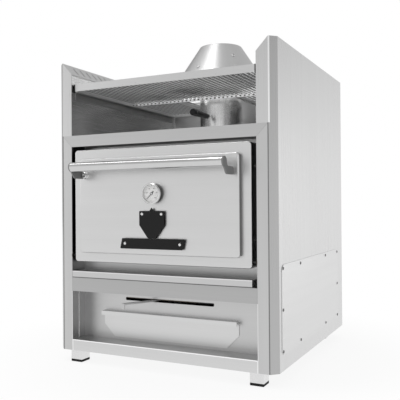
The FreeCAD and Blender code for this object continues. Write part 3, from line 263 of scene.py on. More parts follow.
def steel_grain(board, where, axis):
    """Fine scratches, long streaks and handling clouds."""
    fine = scratches(board, where, axis, *FINE)
    return fine, scratches(board, where, axis, *LONG), speckle(board, where, CLOUD)


def steel_shade(grain, shares=SHARES):
    """Factor for a tone, which follows the grain by a share of each of its patterns."""
    return 1 + sum(swing(share, pattern) for share, pattern in zip(shares, grain))


def brushed_steel(name, axis, tone=STEEL_TONE, roughness=STEEL_ROUGHNESS, shares=SHARES, painted_light=None):
    """Sheet brushed along an axis, with painted light and shade that a function works out from the place."""
    material, board = new_finish(name)
    where = place(board)
    grain = steel_grain(board, where, axis)
    fine, cloud = grain[0], grain[2]
    light_factor = painted_light(board, parted(board, where)) if painted_light else 1.0
    rough = roughness + swing(FINE_ROUGH, fine) + swing(CLOUD_ROUGH, cloud)
    close_metal(board, tone * steel_shade(grain, shares) * light_factor, rough, fine, *BRUSH_RELIEF)
    return material


panels = {
    "level": brushed_steel("brushed_steel_level", "x"),
    "upright": brushed_steel("brushed_steel_upright", "z"),
    "deep": brushed_steel("brushed_steel_deep", "y"),
    "cover": brushed_steel("brushed_steel_cover", "y", tone=0.645),
    "drawer": brushed_steel("brushed_steel_drawer", "x", tone=0.66, roughness=0.34),
    "leg": brushed_steel("brushed_steel_leg", "z", tone=0.72, roughness=0.2),
    "sleeve": brushed_steel("brushed_steel_sleeve", "x", tone=0.64),
    "deck": brushed_steel("brushed_steel_deck", "x", tone=0.88, roughness=0.34),
    # The rack's angles are painted dark, as the painted shadow under the rack's edges.
    "angle": brushed_steel("shaded_steel_angle", "y", tone=0.36, roughness=0.4, shares=STREAKED),
}
print(len(panels), "brushed finishes")

# %% [markdown]
# ## The mitred face frame
# The frame round the door is made of strips whose grain turns at the corners, and the upper corners are
# mitred. The two grains could be two materials on split geometry. One material that switches by position
# keeps the solid whole: a point belongs to an upright strip where it is nearer to the side than to the top,
# in strip widths. The level strips are a little darker than the upright ones. The middle rail gets painted
# shade and the foot rail painted light, and the folds round the niche get a painted highlight. The folds that
# face the door's edge get painted shade a finger's width behind the front, where the gap round the door lies
# in shade, and a thin painted shadow runs along the frame's outer edge.

# %% Mitred steel
frame_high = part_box("face_frame")[1]
inner_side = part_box("right_wall_liner")[0].x
door_low, door_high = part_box("door_skin")
STILE, TOP_RAIL = frame_high.x - inner_side, 35 * MM
MID_RAIL = (underside + 185 * MM, underside + 227 * MM)
NICHE_FLOOR = underside + 34 * MM
MITRE_LINE = 0.02
EDGE_LINE, SILL_LINE = 1.6 * MM, 2.6 * MM
# The middle rail gets painted shade and the foot rail painted light; the niche's folds get a painted
# highlight.
LEVEL_DARKER, MID_RAIL_SHADE, FOOT_RAIL_LIGHT, FOLD_HIGHLIGHT = 0.06, 0.14, 0.24, 0.6
JOINT_DARKER, EDGE_SHADE = 0.25, 0.6
GAP_SHADE, GAP_SHADE_START, GAP_SHADE_FULL, GAP_SHADE_FOOT = 0.93, 1 * MM, 9 * MM, 8 * MM
FRAME_ROUGHNESS = STEEL_ROUGHNESS - 0.01

mitred, board = new_finish("brushed_steel_mitred")
where = place(board)
spot = parted(board, where)
depth, height = spot.also("Y"), spot.also("Z")
from_side = (frame_high.x - abs(spot)) / STILE
from_top = (frame_high.z - height) / TOP_RAIL
bound = from_top.math("MINIMUM", from_top, 1.0)
upright = from_side < bound
level_fine, level_streak, cloud = steel_grain(board, where, "x")
upright_fine, upright_streak = steel_grain(board, where, "z")[:2]
fine = level_fine + upright * (upright_fine - level_fine)
streak = level_streak + upright * (upright_streak - level_streak)
on_mid = (height > MID_RAIL[0]) * (height < MID_RAIL[1]) * (1 - upright)
on_foot = (height < NICHE_FLOOR) * (1 - upright)
at_sill = (abs(height - NICHE_FLOOR) < SILL_LINE) * (1 - upright)
at_jamb = (abs(abs(spot) - inner_side) < EDGE_LINE) * (height < MID_RAIL[0])
# Painted highlight along the niche's sill and the edges of its jambs.
painted_highlight = at_sill.math("MAXIMUM", at_sill, at_jamb) * (depth < front_face + EDGE_LINE)
strips = (1 - MID_RAIL_SHADE * on_mid) * (1 + FOOT_RAIL_LIGHT * on_foot) * (1 + FOLD_HIGHLIGHT * painted_highlight)
joint = abs(from_side - bound) < MITRE_LINE
# A painted shadow along the frame's outer edge, where it meets the wall's bevel.
outer_edge = from_side < SILL_LINE / STILE
# Painted shade on the folds behind the front, in the gap round the door.
behind = fade(board, depth, front_face + GAP_SHADE_START, front_face + GAP_SHADE_FULL)
gap_shaded = behind * fade(board, height, door_low.z - GAP_SHADE_FOOT, door_low.z + GAP_SHADE_FOOT)
joints_and_shade = (1 - JOINT_DARKER * joint) * (1 - EDGE_SHADE * outer_edge) * (1 - GAP_SHADE * gap_shaded)
shade = STEEL_TONE * (steel_shade((fine, streak, cloud)) - LEVEL_DARKER * (1 - upright))
close_metal(board, shade * strips * joints_and_shade, FRAME_ROUGHNESS + swing(FINE_ROUGH, fine), fine, *BRUSH_RELIEF)
print("mitred frame, stiles", round(STILE / MM, 1), "mm wide")

# %% [markdown]
# ## The door's steel
# The door skin and the raised panel are brushed along the door. The narrow sides that look into the gap get
# painted shade, as the frame's folds do. The same painted shade by position serves both, and a hair's width
# at the front edge is left out of it.

# %% Door steel
RIM, SIDE = 2.2 * MM, 1.2 * MM


def door_steel(name, solid, gap_side_shade):
    """Brushed steel with painted shade on the narrow sides of a panel, behind its rim."""
    low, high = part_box(solid)

    def painted_light(board, spot):
        # Painted shade on the narrow sides, which look into the gap.
        at_side = abs(spot - (low.x + high.x) / 2) > (high.x - low.x) / 2 - SIDE
        return 1 - gap_side_shade * at_side * fade(board, spot.also("Y"), low.y + RIM, low.y + 2 * RIM)

    return brushed_steel(name, "x", tone=0.65, painted_light=painted_light)


panels["door"] = door_steel("brushed_steel_door", "door_skin", 0.9)
panels["raised"] = door_steel("brushed_steel_raised", "door_raised_panel", 0.75)
print("door finishes with a", round(RIM / MM, 1), "mm rim")

# %% [markdown]
# ## The bevelled walls
# Each side wall is one folded sheet whose front corner is bevelled. The narrow bevel gets painted shade,
# darker than the broad face beside it. On the bevel, the distance in from the side and the distance back from
# the front add up to its width, which is a sum that a material can test. Above the frame on the right, the
# fold at the front gets a painted highlight, a bright line.

# %% Wall steel
wall_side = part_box("right_wall_skin")[1].x
BEVEL, BEVEL_SLACK, BEVEL_SHADE = 20 * MM, 0.6 * MM, 0.25
FOLD = 3 * MM


def wall_painted_light(board, spot):
    from_front = spot.also("Y") - front_face
    # Painted shade on the bevel.
    on_bevel = wall_side - abs(spot) + from_front < BEVEL + BEVEL_SLACK
    # A painted highlight along the fold at the front, above the frame on the right.
    painted_highlight = on_bevel * (from_front < FOLD) * (spot.also("Z") > frame_high.z) * (spot > 0)
    return (1 - BEVEL_SHADE * on_bevel) * (1 + painted_highlight)


panels["wall"] = brushed_steel("brushed_steel_wall", "z", tone=0.615, roughness=0.29, painted_light=wall_painted_light)
print("walls with a", round(BEVEL / MM), "mm bevel")

# %% [markdown]
# ## Liners, drip tray and rack bars
# The liners inside the walls have seen smoke and wiping, so they are darker and their streaks are strong,
# and above the rack they get painted light and look bright. The drip tray has a hem: its upper edge gets a
# painted highlight, and the foot of its lip a painted shadow where the lip overhangs the rail. The bar that
# crosses under the middle of the rack gets painted light where it lies under the rods. Each is brushed steel
# times a band, which position chooses.

# %% Liner, tray and bar steel
tray_low, tray_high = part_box("drip_tray")
rack_low, rack_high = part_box("rack_frame")
ABOVE_RACK_LIGHT = 0.77
HEM, HEM_SHADOW, HEM_HIGHLIGHT = 2.6 * MM, 0.8, 0.35
BAR_FRONT, BAR_BAND, BAR_END, BAR_LIGHT = at(0, 336, 0).y, 16 * MM, 30 * MM, 0.5


def liner_painted_light(board, spot):
    # Painted light on the liner above the rack.
    return 1 + ABOVE_RACK_LIGHT * fade(board, spot.also("Z"), rack_low.z, rack_high.z)


def tray_painted_light(board, spot):
    height = spot.also("Z")
    on_lip = spot.also("Y") < front_face
    # Painted shadow at the foot of the lip and a painted highlight along its upper edge.
    lip_shadow = 1 - fade(board, height, tray_low.z + HEM, tray_low.z + 2 * HEM)
    return (1 - HEM_SHADOW * on_lip * lip_shadow) * (1 + HEM_HIGHLIGHT * on_lip * (height > tray_high.z - HEM))


def bar_painted_light(board, spot):
    # Painted light on the bar where it lies under the rods.
    under_rods = abs(spot.also("Y") - BAR_FRONT) < BAR_BAND
    return 1 + BAR_LIGHT * under_rods * (abs(spot) < inner_side - BAR_END)


panels["liner"] = brushed_steel("brushed_steel_liner", "y", tone=0.48, roughness=0.26, shares=SMOKED,
                                painted_light=liner_painted_light)
panels["tray"] = brushed_steel("brushed_steel_tray", "x", tone=0.58, roughness=0.34, painted_light=tray_painted_light)
panels["rack"] = brushed_steel("brushed_steel_rack", "x", tone=0.64, painted_light=bar_painted_light)
print("liners, bars and a tray with a", round(HEM / MM, 1), "mm hem")

# %% [markdown]
# ## Rods
# The rods of the rack and of the cooking grid are drawn bright. Their sides get painted shade, darker than
# their tops and undersides, and are rougher too. All rods of a group lie at one height, so the sides are
# everything between two levels, as shares of the rod's thickness.

# %% Rod steel
SIDE_LOW, SIDE_HIGH = (0.3, 0.36), (0.6, 0.68)
ROD_ROUGHNESS, FLANK_ROUGH = 0.17, 0.2
ROD_RELIEF = (0.05, 0.2 * MM)


def rod_steel(name, solid, tone, flank_shade):
    """Drawn rods with painted shade on their sides."""
    low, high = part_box(solid)
    material, board = new_finish(name)
    where = place(board)
    rise = (parted(board, where).also("Z") - low.z) / (high.z - low.z)
    grain = steel_grain(board, where, "y")
    # Painted shade on the rods' sides.
    on_flanks = fade(board, rise, *SIDE_LOW) * (1 - fade(board, rise, *SIDE_HIGH))
    rough = ROD_ROUGHNESS + swing(FINE_ROUGH, grain[0]) + FLANK_ROUGH * on_flanks
    close_metal(board, tone * steel_shade(grain) * (1 - flank_shade * on_flanks), rough, grain[0], *ROD_RELIEF)
    return material


rods = {
    "rack": rod_steel("drawn_steel_rack", "rack_rods_left", tone=0.92, flank_shade=0.88),
    "grid": rod_steel("drawn_steel_grid", "cooking_grid_rods", tone=0.5, flank_shade=0.8),
}
print(len(rods), "rod finishes")

# %% [markdown]
# ## Rolled sheet
# The flue and its hood are rolled from sheet whose grain runs up the pipe and up the cone. Plain Object
# coordinates would smear on a curve. Turning x and y into an angle first lets the same scratches follow the
# sheet.

# %% Rolled steel
flue_axis = middle("flue_pipe")
SEAM_ANGLE, SEAM_WIDTH, SEAM_DARKER = 2.2, 0.03, 0.25
ROLLED_SHARES, ROLLED_ROUGH = (0.07, 0.1, 0.03), 0.12
ROLLED_RELIEF = (0.06, 0.3 * MM)


def rolled_steel(name, tone, roughness, radius):
    """Brushed sheet rolled round the flue's axis, with a seam on its far side."""
    material, board = new_finish(name)
    to_axis = {"Vector": place(board), "Location": (0, -flue_axis.y, 0)}
    spot = parted(board, board.node("ShaderNodeMapping", {}, to_axis))
    angle = spot.math("ARCTAN2", spot.also("Y"), spot)
    sheet = board.node("ShaderNodeCombineXYZ", {}, {"X": angle * radius, "Y": spot.also("Z")})
    grain = steel_grain(board, sheet, "y")
    seam = abs(angle - SEAM_ANGLE) < SEAM_WIDTH
    shade = tone * steel_shade(grain, ROLLED_SHARES) * (1 - SEAM_DARKER * seam)
    close_metal(board, shade, roughness + swing(ROLLED_ROUGH, grain[0]), grain[0], *ROLLED_RELIEF)
    return material


rolled = {
    "pipe": rolled_steel("rolled_steel_pipe", tone=0.7, roughness=0.26, radius=0.07),
    "hood": rolled_steel("rolled_steel_hood", tone=0.62, roughness=0.38, radius=0.11),
}
print("rolled finishes round the axis at", [round(value, 3) for value in flue_axis])

# %% [markdown]
# ## Polished and dark metals
# The handle is polished tube, and its brackets are dark satin castings. Both are metals, so the difference
# is in tone and roughness. Polishing leaves faint rings round the tube, which a noise squeezed along the
# tube gives.

# %% Polished and dark metals
RINGS, DULLING = (900, 12), 25.0
RING_ROUGH, DULL_ROUGH = 0.05, 0.04
RING_RELIEF = (0.03, 0.1 * MM)


def worked_metal(name, axis, tone, roughness, warmth=0.0, spread=0.06):
    """Turned or polished metal: fine rings that lie across an axis."""
    material, board = new_finish(name)
    where = place(board)
    rings = scratches(board, where, axis, *RINGS)
    cloud = speckle(board, where, DULLING, 3.0)
    shade = tone * (1 + swing(spread, rings) + swing(spread, cloud))
    rough = roughness + swing(RING_ROUGH, rings) + swing(DULL_ROUGH, cloud)
    close_metal(board, shade, rough, rings, *RING_RELIEF, warmth)
    return material


metals = {
    "handle": worked_metal("polished_handle", "x", tone=0.6, roughness=0.085),
    "bracket": worked_metal("dark_bracket", "z", tone=0.24, roughness=0.435, spread=0.12),
    "turned": worked_metal("turned_steel", "y", tone=0.66, roughness=0.215),
    "fastener": worked_metal("bright_fastener", "z", tone=0.7, roughness=0.255),
    "bronze": worked_metal("bearing_bronze", "x", tone=0.06, roughness=0.515, warmth=0.14),
    "gap_shaded": worked_metal("sooty_pin", "x", tone=0.05, roughness=0.515),
    "tinted": worked_metal("heat_tinted_weld", "z", tone=0.09, roughness=0.515, warmth=0.06, spread=0.2),
    "blackened": worked_metal("blackened_screw", "x", tone=0.16, roughness=0.365, spread=0.12),
}
print(len(metals), "worked metals")

# %% [markdown]
# ## Iron and scale
# Inside the oven the charcoal grate is cast iron with a sandy skin, and the firebox is plain plate with mill
# scale. Bump from a coarse and a fine noise gives the casting. The scale mixes a brown and a blue grey by
# a cloud.

# %% Hot parts
BLUE_SCALE, BROWN_SCALE = (0.11, 0.11, 0.12, 1), (0.19, 0.16, 0.13, 1)
PATCH_EDGE = (0.42, 0.62)


def cast_iron(name):
    material, board = new_finish(name)
    where = place(board)
    grains, lumps = speckle(board, where, 900.0, 4.0), speckle(board, where, 60.0, 3.0)
    close_finish(board, Base_Color=grey(board, 0.05 + 0.05 * lumps, 0.04), Metallic=0.55,
                 Roughness=0.55 + 0.25 * grains, Normal=relief(board, grains * 0.6 + lumps, 0.5, 0.6 * MM))
    return material


def scaled_plate(name):
    material, board = new_finish(name)
    where = place(board)
    cloud, grains = speckle(board, where, 7.0, 5.0), speckle(board, where, 300.0, 3.0)
    patch = fade(board, cloud, *PATCH_EDGE)
    colour = board.node("ShaderNodeMix", {"data_type": "RGBA"}, {0: patch, 6: BLUE_SCALE, 7: BROWN_SCALE}, 2)
    close_finish(board, Base_Color=colour, Metallic=0.75, Roughness=0.5 + 0.2 * grains,
                 Normal=relief(board, grains + cloud, 0.2, 0.4 * MM))
    return material


hot_parts = {"iron": cast_iron("cast_iron"), "scale": scaled_plate("scaled_plate")}
print("hot parts:", sorted(hot_parts))

# %% [markdown]
# ## Paint, rubber, grip and insulation
# The two blank plates are black powder coat with a fine orange peel. The leg caps are rubber, the damper has
# a moulded grip, and mineral fibre fills the door and wraps the firebox. None of them is a metal, so the
# light comes from the body colour, and a little roughness noise keeps the black parts from looking flat.

# %% Coatings and fibres
COAT_CLOUD, COAT_SHARE, COAT_ROUGH, COAT_RELIEF = 18.0, 0.2, 0.16, 0.25
FIBRE_LEAST, STRAND_SHARE, TUFT_SHARE, FIBRE_ROUGHNESS = 0.75, 0.2, 0.15, 0.95


def moulded(name, shade, roughness, grain, depth, warmth=0.0, gloss=0.5):
    """Paint, plastic or rubber: a plain colour with a fine skin."""
    material, board = new_finish(name)
    where = place(board)
    skin, cloud = speckle(board, where, grain, 3.0), speckle(board, where, COAT_CLOUD, 3.0)
    tone = shade * (1 + swing(COAT_SHARE, skin) + swing(COAT_SHARE, cloud))
    close_finish(board, Base_Color=grey(board, tone, warmth), Roughness=roughness + swing(COAT_ROUGH, cloud),
                 Normal=relief(board, skin, COAT_RELIEF, depth), Specular_IOR_Level=gloss)
    return material


def fibre(name, shade, warmth):
    """Matt wool or rope of fine strands."""
    material, board = new_finish(name)
    where = place(board)
    strands, tufts = scratches(board, where, "x", 60, 700), speckle(board, where, 90.0, 5.0)
    tone = shade * (FIBRE_LEAST + STRAND_SHARE * strands + TUFT_SHARE * tufts)
    close_finish(board, Base_Color=grey(board, tone, warmth), Roughness=FIBRE_ROUGHNESS,
                 Normal=relief(board, strands + tufts, 0.6, 1.2 * MM))
    return material


coatings = {
    "plate": moulded("black_powder_coat", 0.012, roughness=0.6, grain=1400.0, depth=0.1 * MM, gloss=0.2),
    "grip": moulded("black_grip", 0.008, roughness=0.45, grain=900.0, depth=0.15 * MM, gloss=0.3),
    "rubber": moulded("rubber", 0.012, roughness=0.8, grain=500.0, depth=0.3 * MM, gloss=0.3),
    "dial": moulded("dial_enamel", 0.86, roughness=0.35, grain=700.0, depth=0.02 * MM, warmth=0.008),
    "ink": moulded("dial_ink", 0.03, roughness=0.5, grain=900.0, depth=0.02 * MM),
    "wool": fibre("mineral_wool", 0.7, 0.05),
    "rope": fibre("glass_rope", 0.74, 0.03),
}
print(len(coatings), "coatings and fibres")

# %% [markdown]
# ## The lens
# A thin glass disc covers the dial. Real refraction would darken the dial behind it, because light has to
# find its way in through the glass. A mostly clear surface with a mirror-like skin looks the same at this
# size.

# %% Lens
LENS_TINT, LENS_ALPHA = (0.95, 0.97, 0.97, 1), 0.03
lens, board = new_finish("dial_lens")
smear = speckle(board, place(board), 60.0, 3.0)
close_finish(board, Base_Color=LENS_TINT, Roughness=0.03 + 0.05 * smear, Alpha=LENS_ALPHA + 0.03 * smear,
             Specular_IOR_Level=0.3)
print("lens ready")

# %% [markdown]
# ## Dressing the solids
# Each solid keeps its shape and only gets a finish on its material slots. The table says which finish goes
# where, so it reads like a parts list.

# %% Finishes on the solids
DRESS = {
    panels["wall"]: ("left_wall_skin", "right_wall_skin"),
    panels["upright"]: ("back_panel",),
    panels["cover"]: ("access_cover",),
    panels["deep"]: ("drawer_guides", "draft_lever"),
    panels["liner"]: ("left_wall_liner", "right_wall_liner"),
    panels["angle"]: ("rack_angles",),
    panels["tray"]: ("drip_tray",),
    panels["deck"]: ("deck",),
    panels["level"]: ("oven_front_plate", "base_plate", "compartment_back_wall", "door_liner", "hood_straps"),
    panels["rack"]: ("rack_frame",),
    panels["drawer"]: ("ash_drawer",),
    panels["door"]: ("door_skin",),
    panels["raised"]: ("door_raised_panel",),
    panels["leg"]: ("legs",),
    rods["rack"]: ("rack_rods_left", "rack_rods_middle", "rack_rods_right"),
    rods["grid"]: ("cooking_grid_rods", "cooking_grid_frame"),
    mitred: ("face_frame",),
    rolled["pipe"]: ("flue_pipe", "flue_outlet_collar", "damper_blade"),
    rolled["hood"]: ("draught_hood",),
    metals["handle"]: ("handle_tube",),
    metals["bracket"]: ("left_handle_bracket", "right_handle_bracket"),
    metals["turned"]: ("thermometer_case", "thermometer_stem", "damper_shaft", "lever_pivot_pin"),
    metals["bronze"]: ("hinge_bushes",),
    metals["gap_shaded"]: ("hinge_pins",),
    hot_parts["iron"]: ("charcoal_grate",),
    hot_parts["scale"]: ("firebox", "charcoal_ledges", "grid_rails"),
    coatings["plate"]: ("name_plate", "badge_plate"),
    coatings["grip"]: ("damper_grip",),
    coatings["rubber"]: ("leg_caps",),
    coatings["dial"]: ("thermometer_dial",),
    coatings["ink"]: ("thermometer_pointer",),
    coatings["wool"]: ("firebox_insulation", "door_insulation"),
    lens: ("thermometer_lens",),
}
for finish, names in DRESS.items():
    for name in names:
        slots = nodes[name].data.materials
        slots.clear()
        slots.append(finish)
print(sum(len(names) for names in DRESS.values()), "solids dressed")

# %% [markdown]
# ## Turned heads
# Screws, rivets and bolts all have heads that a lathe could make. A short profile of radius and height,
# turned round an axis, gives each of them as a closed mesh. With six sides instead of twenty the same
# turning makes a hexagon head.

# %% Turning a profile
SMOOTH_ANGLE = math.radians(35)


def turned(profile, sides=20, ring=False):
    """Closed mesh turned round z from pairs of radius and height. A ring joins its last pair to its first."""
    shape = bmesh.new()
    loops = []
    for radius, height in profile:
        turns = [2 * math.pi * step / sides for step in range(sides if radius > 0 else 1)]
        corners = [(radius * math.cos(turn), radius * math.sin(turn), height) for turn in turns]
        loops.append([shape.verts.new(corner) for corner in corners])
    following = loops[1:] + loops[:1] if ring else loops[1:]
    for lower, upper in zip(loops, following):
        for step in range(sides):
            after = (step + 1) % sides
            corners = (lower[step % len(lower)], lower[after % len(lower)],
                       upper[after % len(upper)], upper[step % len(upper)])
            shape.faces.new(tuple(dict.fromkeys(corners)))
    bmesh.ops.recalc_face_normals(shape, faces=shape.faces)
    return shape


def to_mesh(shape, name):
    mesh = bpy.data.meshes.new(name)
    shape.to_mesh(mesh)
    shape.free()
    mesh.shade_smooth()
    mesh.set_sharp_from_angle(angle=SMOOTH_ANGLE)
    return mesh


print("heads can be turned, smooth under", round(math.degrees(SMOOTH_ANGLE)), "degrees")

# %% [markdown]
# ## Pieces that ride on bodies
# What this lesson adds has to move with the oven. A finished mesh becomes a piece with one finish, rides on
# a body, says what it is made of and, where it is a finer form of a solid, stands for that solid. A helper
# also keeps what modifiers made as a plain mesh.

# %% Settling a piece
def settle(mesh, name, finish, body, stands_for=()):
    """Make a finished mesh a piece that rides on a body and, where asked, stands for solids."""
    piece = shown(name, mesh)
    mesh.materials.clear()
    mesh.materials.append(finish)
    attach(piece, body)
    if stands_for:
        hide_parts(*stands_for)
    print(name, len(mesh.polygons), "faces on", body)


def plain_mesh(thing):
    """Mesh of an object with what its modifiers made. The object itself is removed."""
    mesh = bpy.data.meshes.new_from_object(thing.evaluated_get(bpy.context.evaluated_depsgraph_get()))
    thing.modifiers.clear()
    bpy.data.objects.remove(thing)
    return mesh


print("pieces can be settled")

# %% [markdown]
# ## Geometry trees that run once
# Whatever repeats is grown by Geometry Nodes. Each tree has named inputs, ends in Realize Instances and Set
# Material, and runs once on a carrier. The result is then kept as a plain mesh, because instances would be
# lost on export.

# %% Growing a mesh from a tree
def new_tree(name, inputs):
    """Geometry tree with its named inputs. Gives the tree, its board and the input node."""
    tree = bpy.data.node_groups.new(name, "GeometryNodeTree")
    tree.interface.new_socket("Geometry", in_out="INPUT", socket_type="NodeSocketGeometry")
    for label, kind in inputs.items():
        tree.interface.new_socket(label, in_out="INPUT", socket_type=f"NodeSocket{kind}")
    tree.interface.new_socket("Geometry", in_out="OUTPUT", socket_type="NodeSocketGeometry")
    board = Board(tree)
    return tree, board, board.node("NodeGroupInput")


def close_tree(board, grown, finish):
    solid = board.node("GeometryNodeRealizeInstances", {}, {"Geometry": grown})
    dressed = board.node("GeometryNodeSetMaterial", {}, {"Geometry": solid, "Material": finish})
    board.node("NodeGroupOutput", {}, {"Geometry": dressed})


def grow(tree, values, carrier_mesh=None):
    """Run a tree once and keep what it grew as a plain mesh."""
    carrier = shown("carrier", carrier_mesh or bpy.data.meshes.new("carrier"))
    modifier = carrier.modifiers.new("grow", "NODES")
    modifier.node_group = tree
    for item in tree.interface.items_tree:
        if item.in_out == "INPUT" and item.name in values:
            modifier[item.identifier] = values[item.name]
    return plain_mesh(carrier)


print("trees can be grown")

# %% [markdown]
# ## Fasteners on points
# A fastener needs a place and a direction to look in. Loose points carry both, the direction as an
# attribute, and one tree sets a head on every point. A random spin with a fixed seed leaves the cross
# recesses turned every way, as they are when someone has tightened them by hand.

# %% Fastener tree
fasteners, board, given = new_tree(
    "fasteners", {"Head": "Object", "Finish": "Material", "Spin": "Float", "Seed": "Int"})
aim = board.node("GeometryNodeInputNamedAttribute", {"data_type": "FLOAT_VECTOR"}, {"Name": "aim"})
facing = board.node("FunctionNodeAlignRotationToVector", {"axis": "Z"}, {"Vector": aim})
chance = board.node("FunctionNodeRandomValue", {"data_type": "FLOAT"}, {"Seed": given.also("Seed")}, 1)
spin = board.node("ShaderNodeCombineXYZ", {}, {"Z": chance * given.also("Spin")})
turn = board.node("FunctionNodeEulerToRotation", {}, {"Euler": spin})
tightened = board.node("FunctionNodeRotateRotation", {"rotation_space": "LOCAL"},
                       {"Rotation": facing, "Rotate By": turn})
head = board.node("GeometryNodeObjectInfo", {}, {"Object": given.also("Head")}, "Geometry")
heads = board.node("GeometryNodeInstanceOnPoints", {},
                   {"Points": given, "Instance": head, "Rotation": tightened})
close_tree(board, heads, given.also("Finish"))


def fasten(name, head_mesh, places, finish, body, stands_for=(), seed=7):
    """Set a head on every place, a point and the way that the head looks, and settle them as one piece."""
    pegs = bpy.data.meshes.new("pegs")
    pegs.from_pydata([point for point, look in places], [], [])
    aims = pegs.attributes.new("aim", "FLOAT_VECTOR", "POINT")
    for item, (point, look) in zip(aims.data, places):
        item.vector = look
    sample = shown("head_sample", head_mesh)
    values = {"Head": sample, "Finish": finish, "Spin": 2 * math.pi, "Seed": seed}
    mesh = grow(fasteners, values, pegs)
    bpy.data.objects.remove(sample)
    settle(mesh, name, finish, body, stands_for)


print("fastener tree with", len(fasteners.nodes), "nodes")

# %% [markdown]
# ## Pan head screws
# The access cover, the back panel and the edge of the door are held by small pan head screws with a cross
# recess. The head is turned, and the recess is cut with a Boolean modifier by two crossed bars, once for all
# screws of a size.

# %% Screw heads
PAN = ((0, 0), (1, 0), (1, 0.45), (0.86, 0.8), (0.5, 1), (0, 1))
RECESS = (0.16, 0.56)
RIGHT, LEFT = Vector((1, 0, 0)), Vector((-1, 0, 0))
FRONT, BACK, DOWN = Vector((0, -1, 0)), Vector((0, 1, 0)), Vector((0, 0, -1))


def pan_head(radius, height):
    """Pan head with a cross recess, looking along z."""
    profile = [(reach * radius, rise * height) for reach, rise in PAN]
    head = shown("pan_head", to_mesh(turned(profile), "pan_head"))
    bars = bmesh.new()
    for across, along in (RECESS, RECESS[::-1]):
        size = Matrix.Diagonal((2 * across * radius, 2 * along * radius, height, 1))
        bmesh.ops.create_cube(bars, size=1, matrix=Matrix.Translation((0, 0, height)) @ size)
    cross = shown("cross", to_mesh(bars, "cross"))
    cutter = head.modifiers.new("recess", "BOOLEAN")
    cutter.operation = "DIFFERENCE"
    cutter.use_self = True
    cutter.object = cross
    mesh = plain_mesh(head)
    bpy.data.objects.remove(cross)
    return mesh


screw_low, screw_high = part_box("cover_screws")
SCREW, SCREW_SIDE = 4.5 * MM, 160 * MM
row_y = (screw_low.y + SCREW, screw_high.y - SCREW)
row_z = (screw_low.z + SCREW, screw_high.z - SCREW)
inner_y = (row_y[0] + SCREW_SIDE, row_y[1] - SCREW_SIDE)
cover_spots = [(y, z) for z in row_z for y in (*row_y, *inner_y)]
cover_spots += [(y, sum(row_z) / 2) for y in row_y]
cover_places = [(Vector((screw_low.x, y, z)), RIGHT) for y, z in cover_spots]
cover_head = pan_head(SCREW, screw_high.x - screw_low.x)
fasten("cover_screw_heads", cover_head, cover_places, metals["blackened"], "cabinet",
       stands_for=["cover_screws"])

# %% [markdown]
# ## Screws in the gaps and on the back
# Small bright screws show in the dark gap round the door: two on each edge of the door and two under the top
# rail. The back panel has a screw every hand's width along its rim, which nobody sees from the front but
# everyone who installs the oven does.

# %% More screws
EDGE_SCREWS = (at(0, 24, 556), at(0, 24, 355))
RAIL_SCREWS = (at(-286, 41, 634), at(-232, 41, 634))
SMALL_HEAD, BACK_HEAD = (3.5 * MM, 1.8 * MM), (4.5 * MM, 2 * MM)
door_sides = ((door_high.x, RIGHT), (door_low.x, LEFT))
edge_places = [(Vector((x, spot.y, spot.z)), look) for x, look in door_sides for spot in EDGE_SCREWS]
rail_places = [(spot, DOWN) for spot in RAIL_SCREWS]
small_head = pan_head(*SMALL_HEAD)
fasten("door_edge_screws", small_head, edge_places, metals["fastener"], "door", seed=3)
fasten("rail_screws", small_head, rail_places, metals["fastener"], "cabinet", seed=4)

panel_low, panel_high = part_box("back_panel")
BACK_RIM, COLUMNS, ROWS = 14 * MM, 5, 7


def evenly(low, high, count):
    """Even steps between two edges, in from each by the rim."""
    return [low + BACK_RIM + step * (high - low - 2 * BACK_RIM) / (count - 1) for step in range(count)]


rim_x = evenly(panel_low.x, panel_high.x, COLUMNS)
rim_z = evenly(panel_low.z, panel_high.z, ROWS)
crossings = [(x, z) for x in rim_x for z in rim_z]
rim_spots = [(x, z) for x, z in crossings if x in (rim_x[0], rim_x[-1]) or z in (rim_z[0], rim_z[-1])]
rim_places = [(Vector((x, panel_high.y, z)), BACK) for x, z in rim_spots]
fasten("back_panel_screws", pan_head(*BACK_HEAD), rim_places, metals["fastener"], "cabinet", seed=5)

# %% [markdown]
# ## Rivets on the blank plates
# Each black plate stands a few millimetres off the door on spacers and is held by dome head rivets, which
# catch the light. A rivet here is two turned shapes in line: the spacer behind the plate and the dome in
# front of it.

# %% Rivets
plate_low, plate_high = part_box("name_plate")
badge_low, badge_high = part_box("badge_plate")
door_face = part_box("door_raised_panel")[0].y
RIVET, DOME, DOME_RISE, DOME_ANGLES = 3.5 * MM, 4.3 * MM, 1.6 * MM, (0, 25, 50, 72)
SLANT, NAME_INSET, BADGE_INSET = 7 * MM, 12 * MM, 9 * MM
standing = door_face - plate_low.y
plate_back = door_face - plate_high.y
spacer = [(0, 0), (RIVET, 0), (RIVET, plate_back), (0, plate_back)]
dome = [(0, standing)]
for angle in map(math.radians, DOME_ANGLES):
    dome.append((DOME * math.cos(angle), standing + DOME_RISE * math.sin(angle)))
dome.append((0, standing + DOME_RISE))
rivet = turned(spacer)
rivet.from_mesh(to_mesh(turned(dome), "rivet_head"))

plate = middle("name_plate")
apart = (plate_high.x - plate_low.x - SLANT) / 2 - NAME_INSET
rivet_spots = [(plate.x - apart, plate.z), (plate.x + apart, plate.z)]
badge_sides = (badge_low.x + BADGE_INSET, badge_high.x - BADGE_INSET)
rivet_spots += [(x, badge_high.z - BADGE_INSET) for x in badge_sides]
rivet_places = [(Vector((x, door_face, z)), FRONT) for x, z in rivet_spots]
fasten("plate_rivet_heads", to_mesh(rivet, "rivet"), rivet_places, metals["fastener"], "door",
       stands_for=["plate_rivets"])

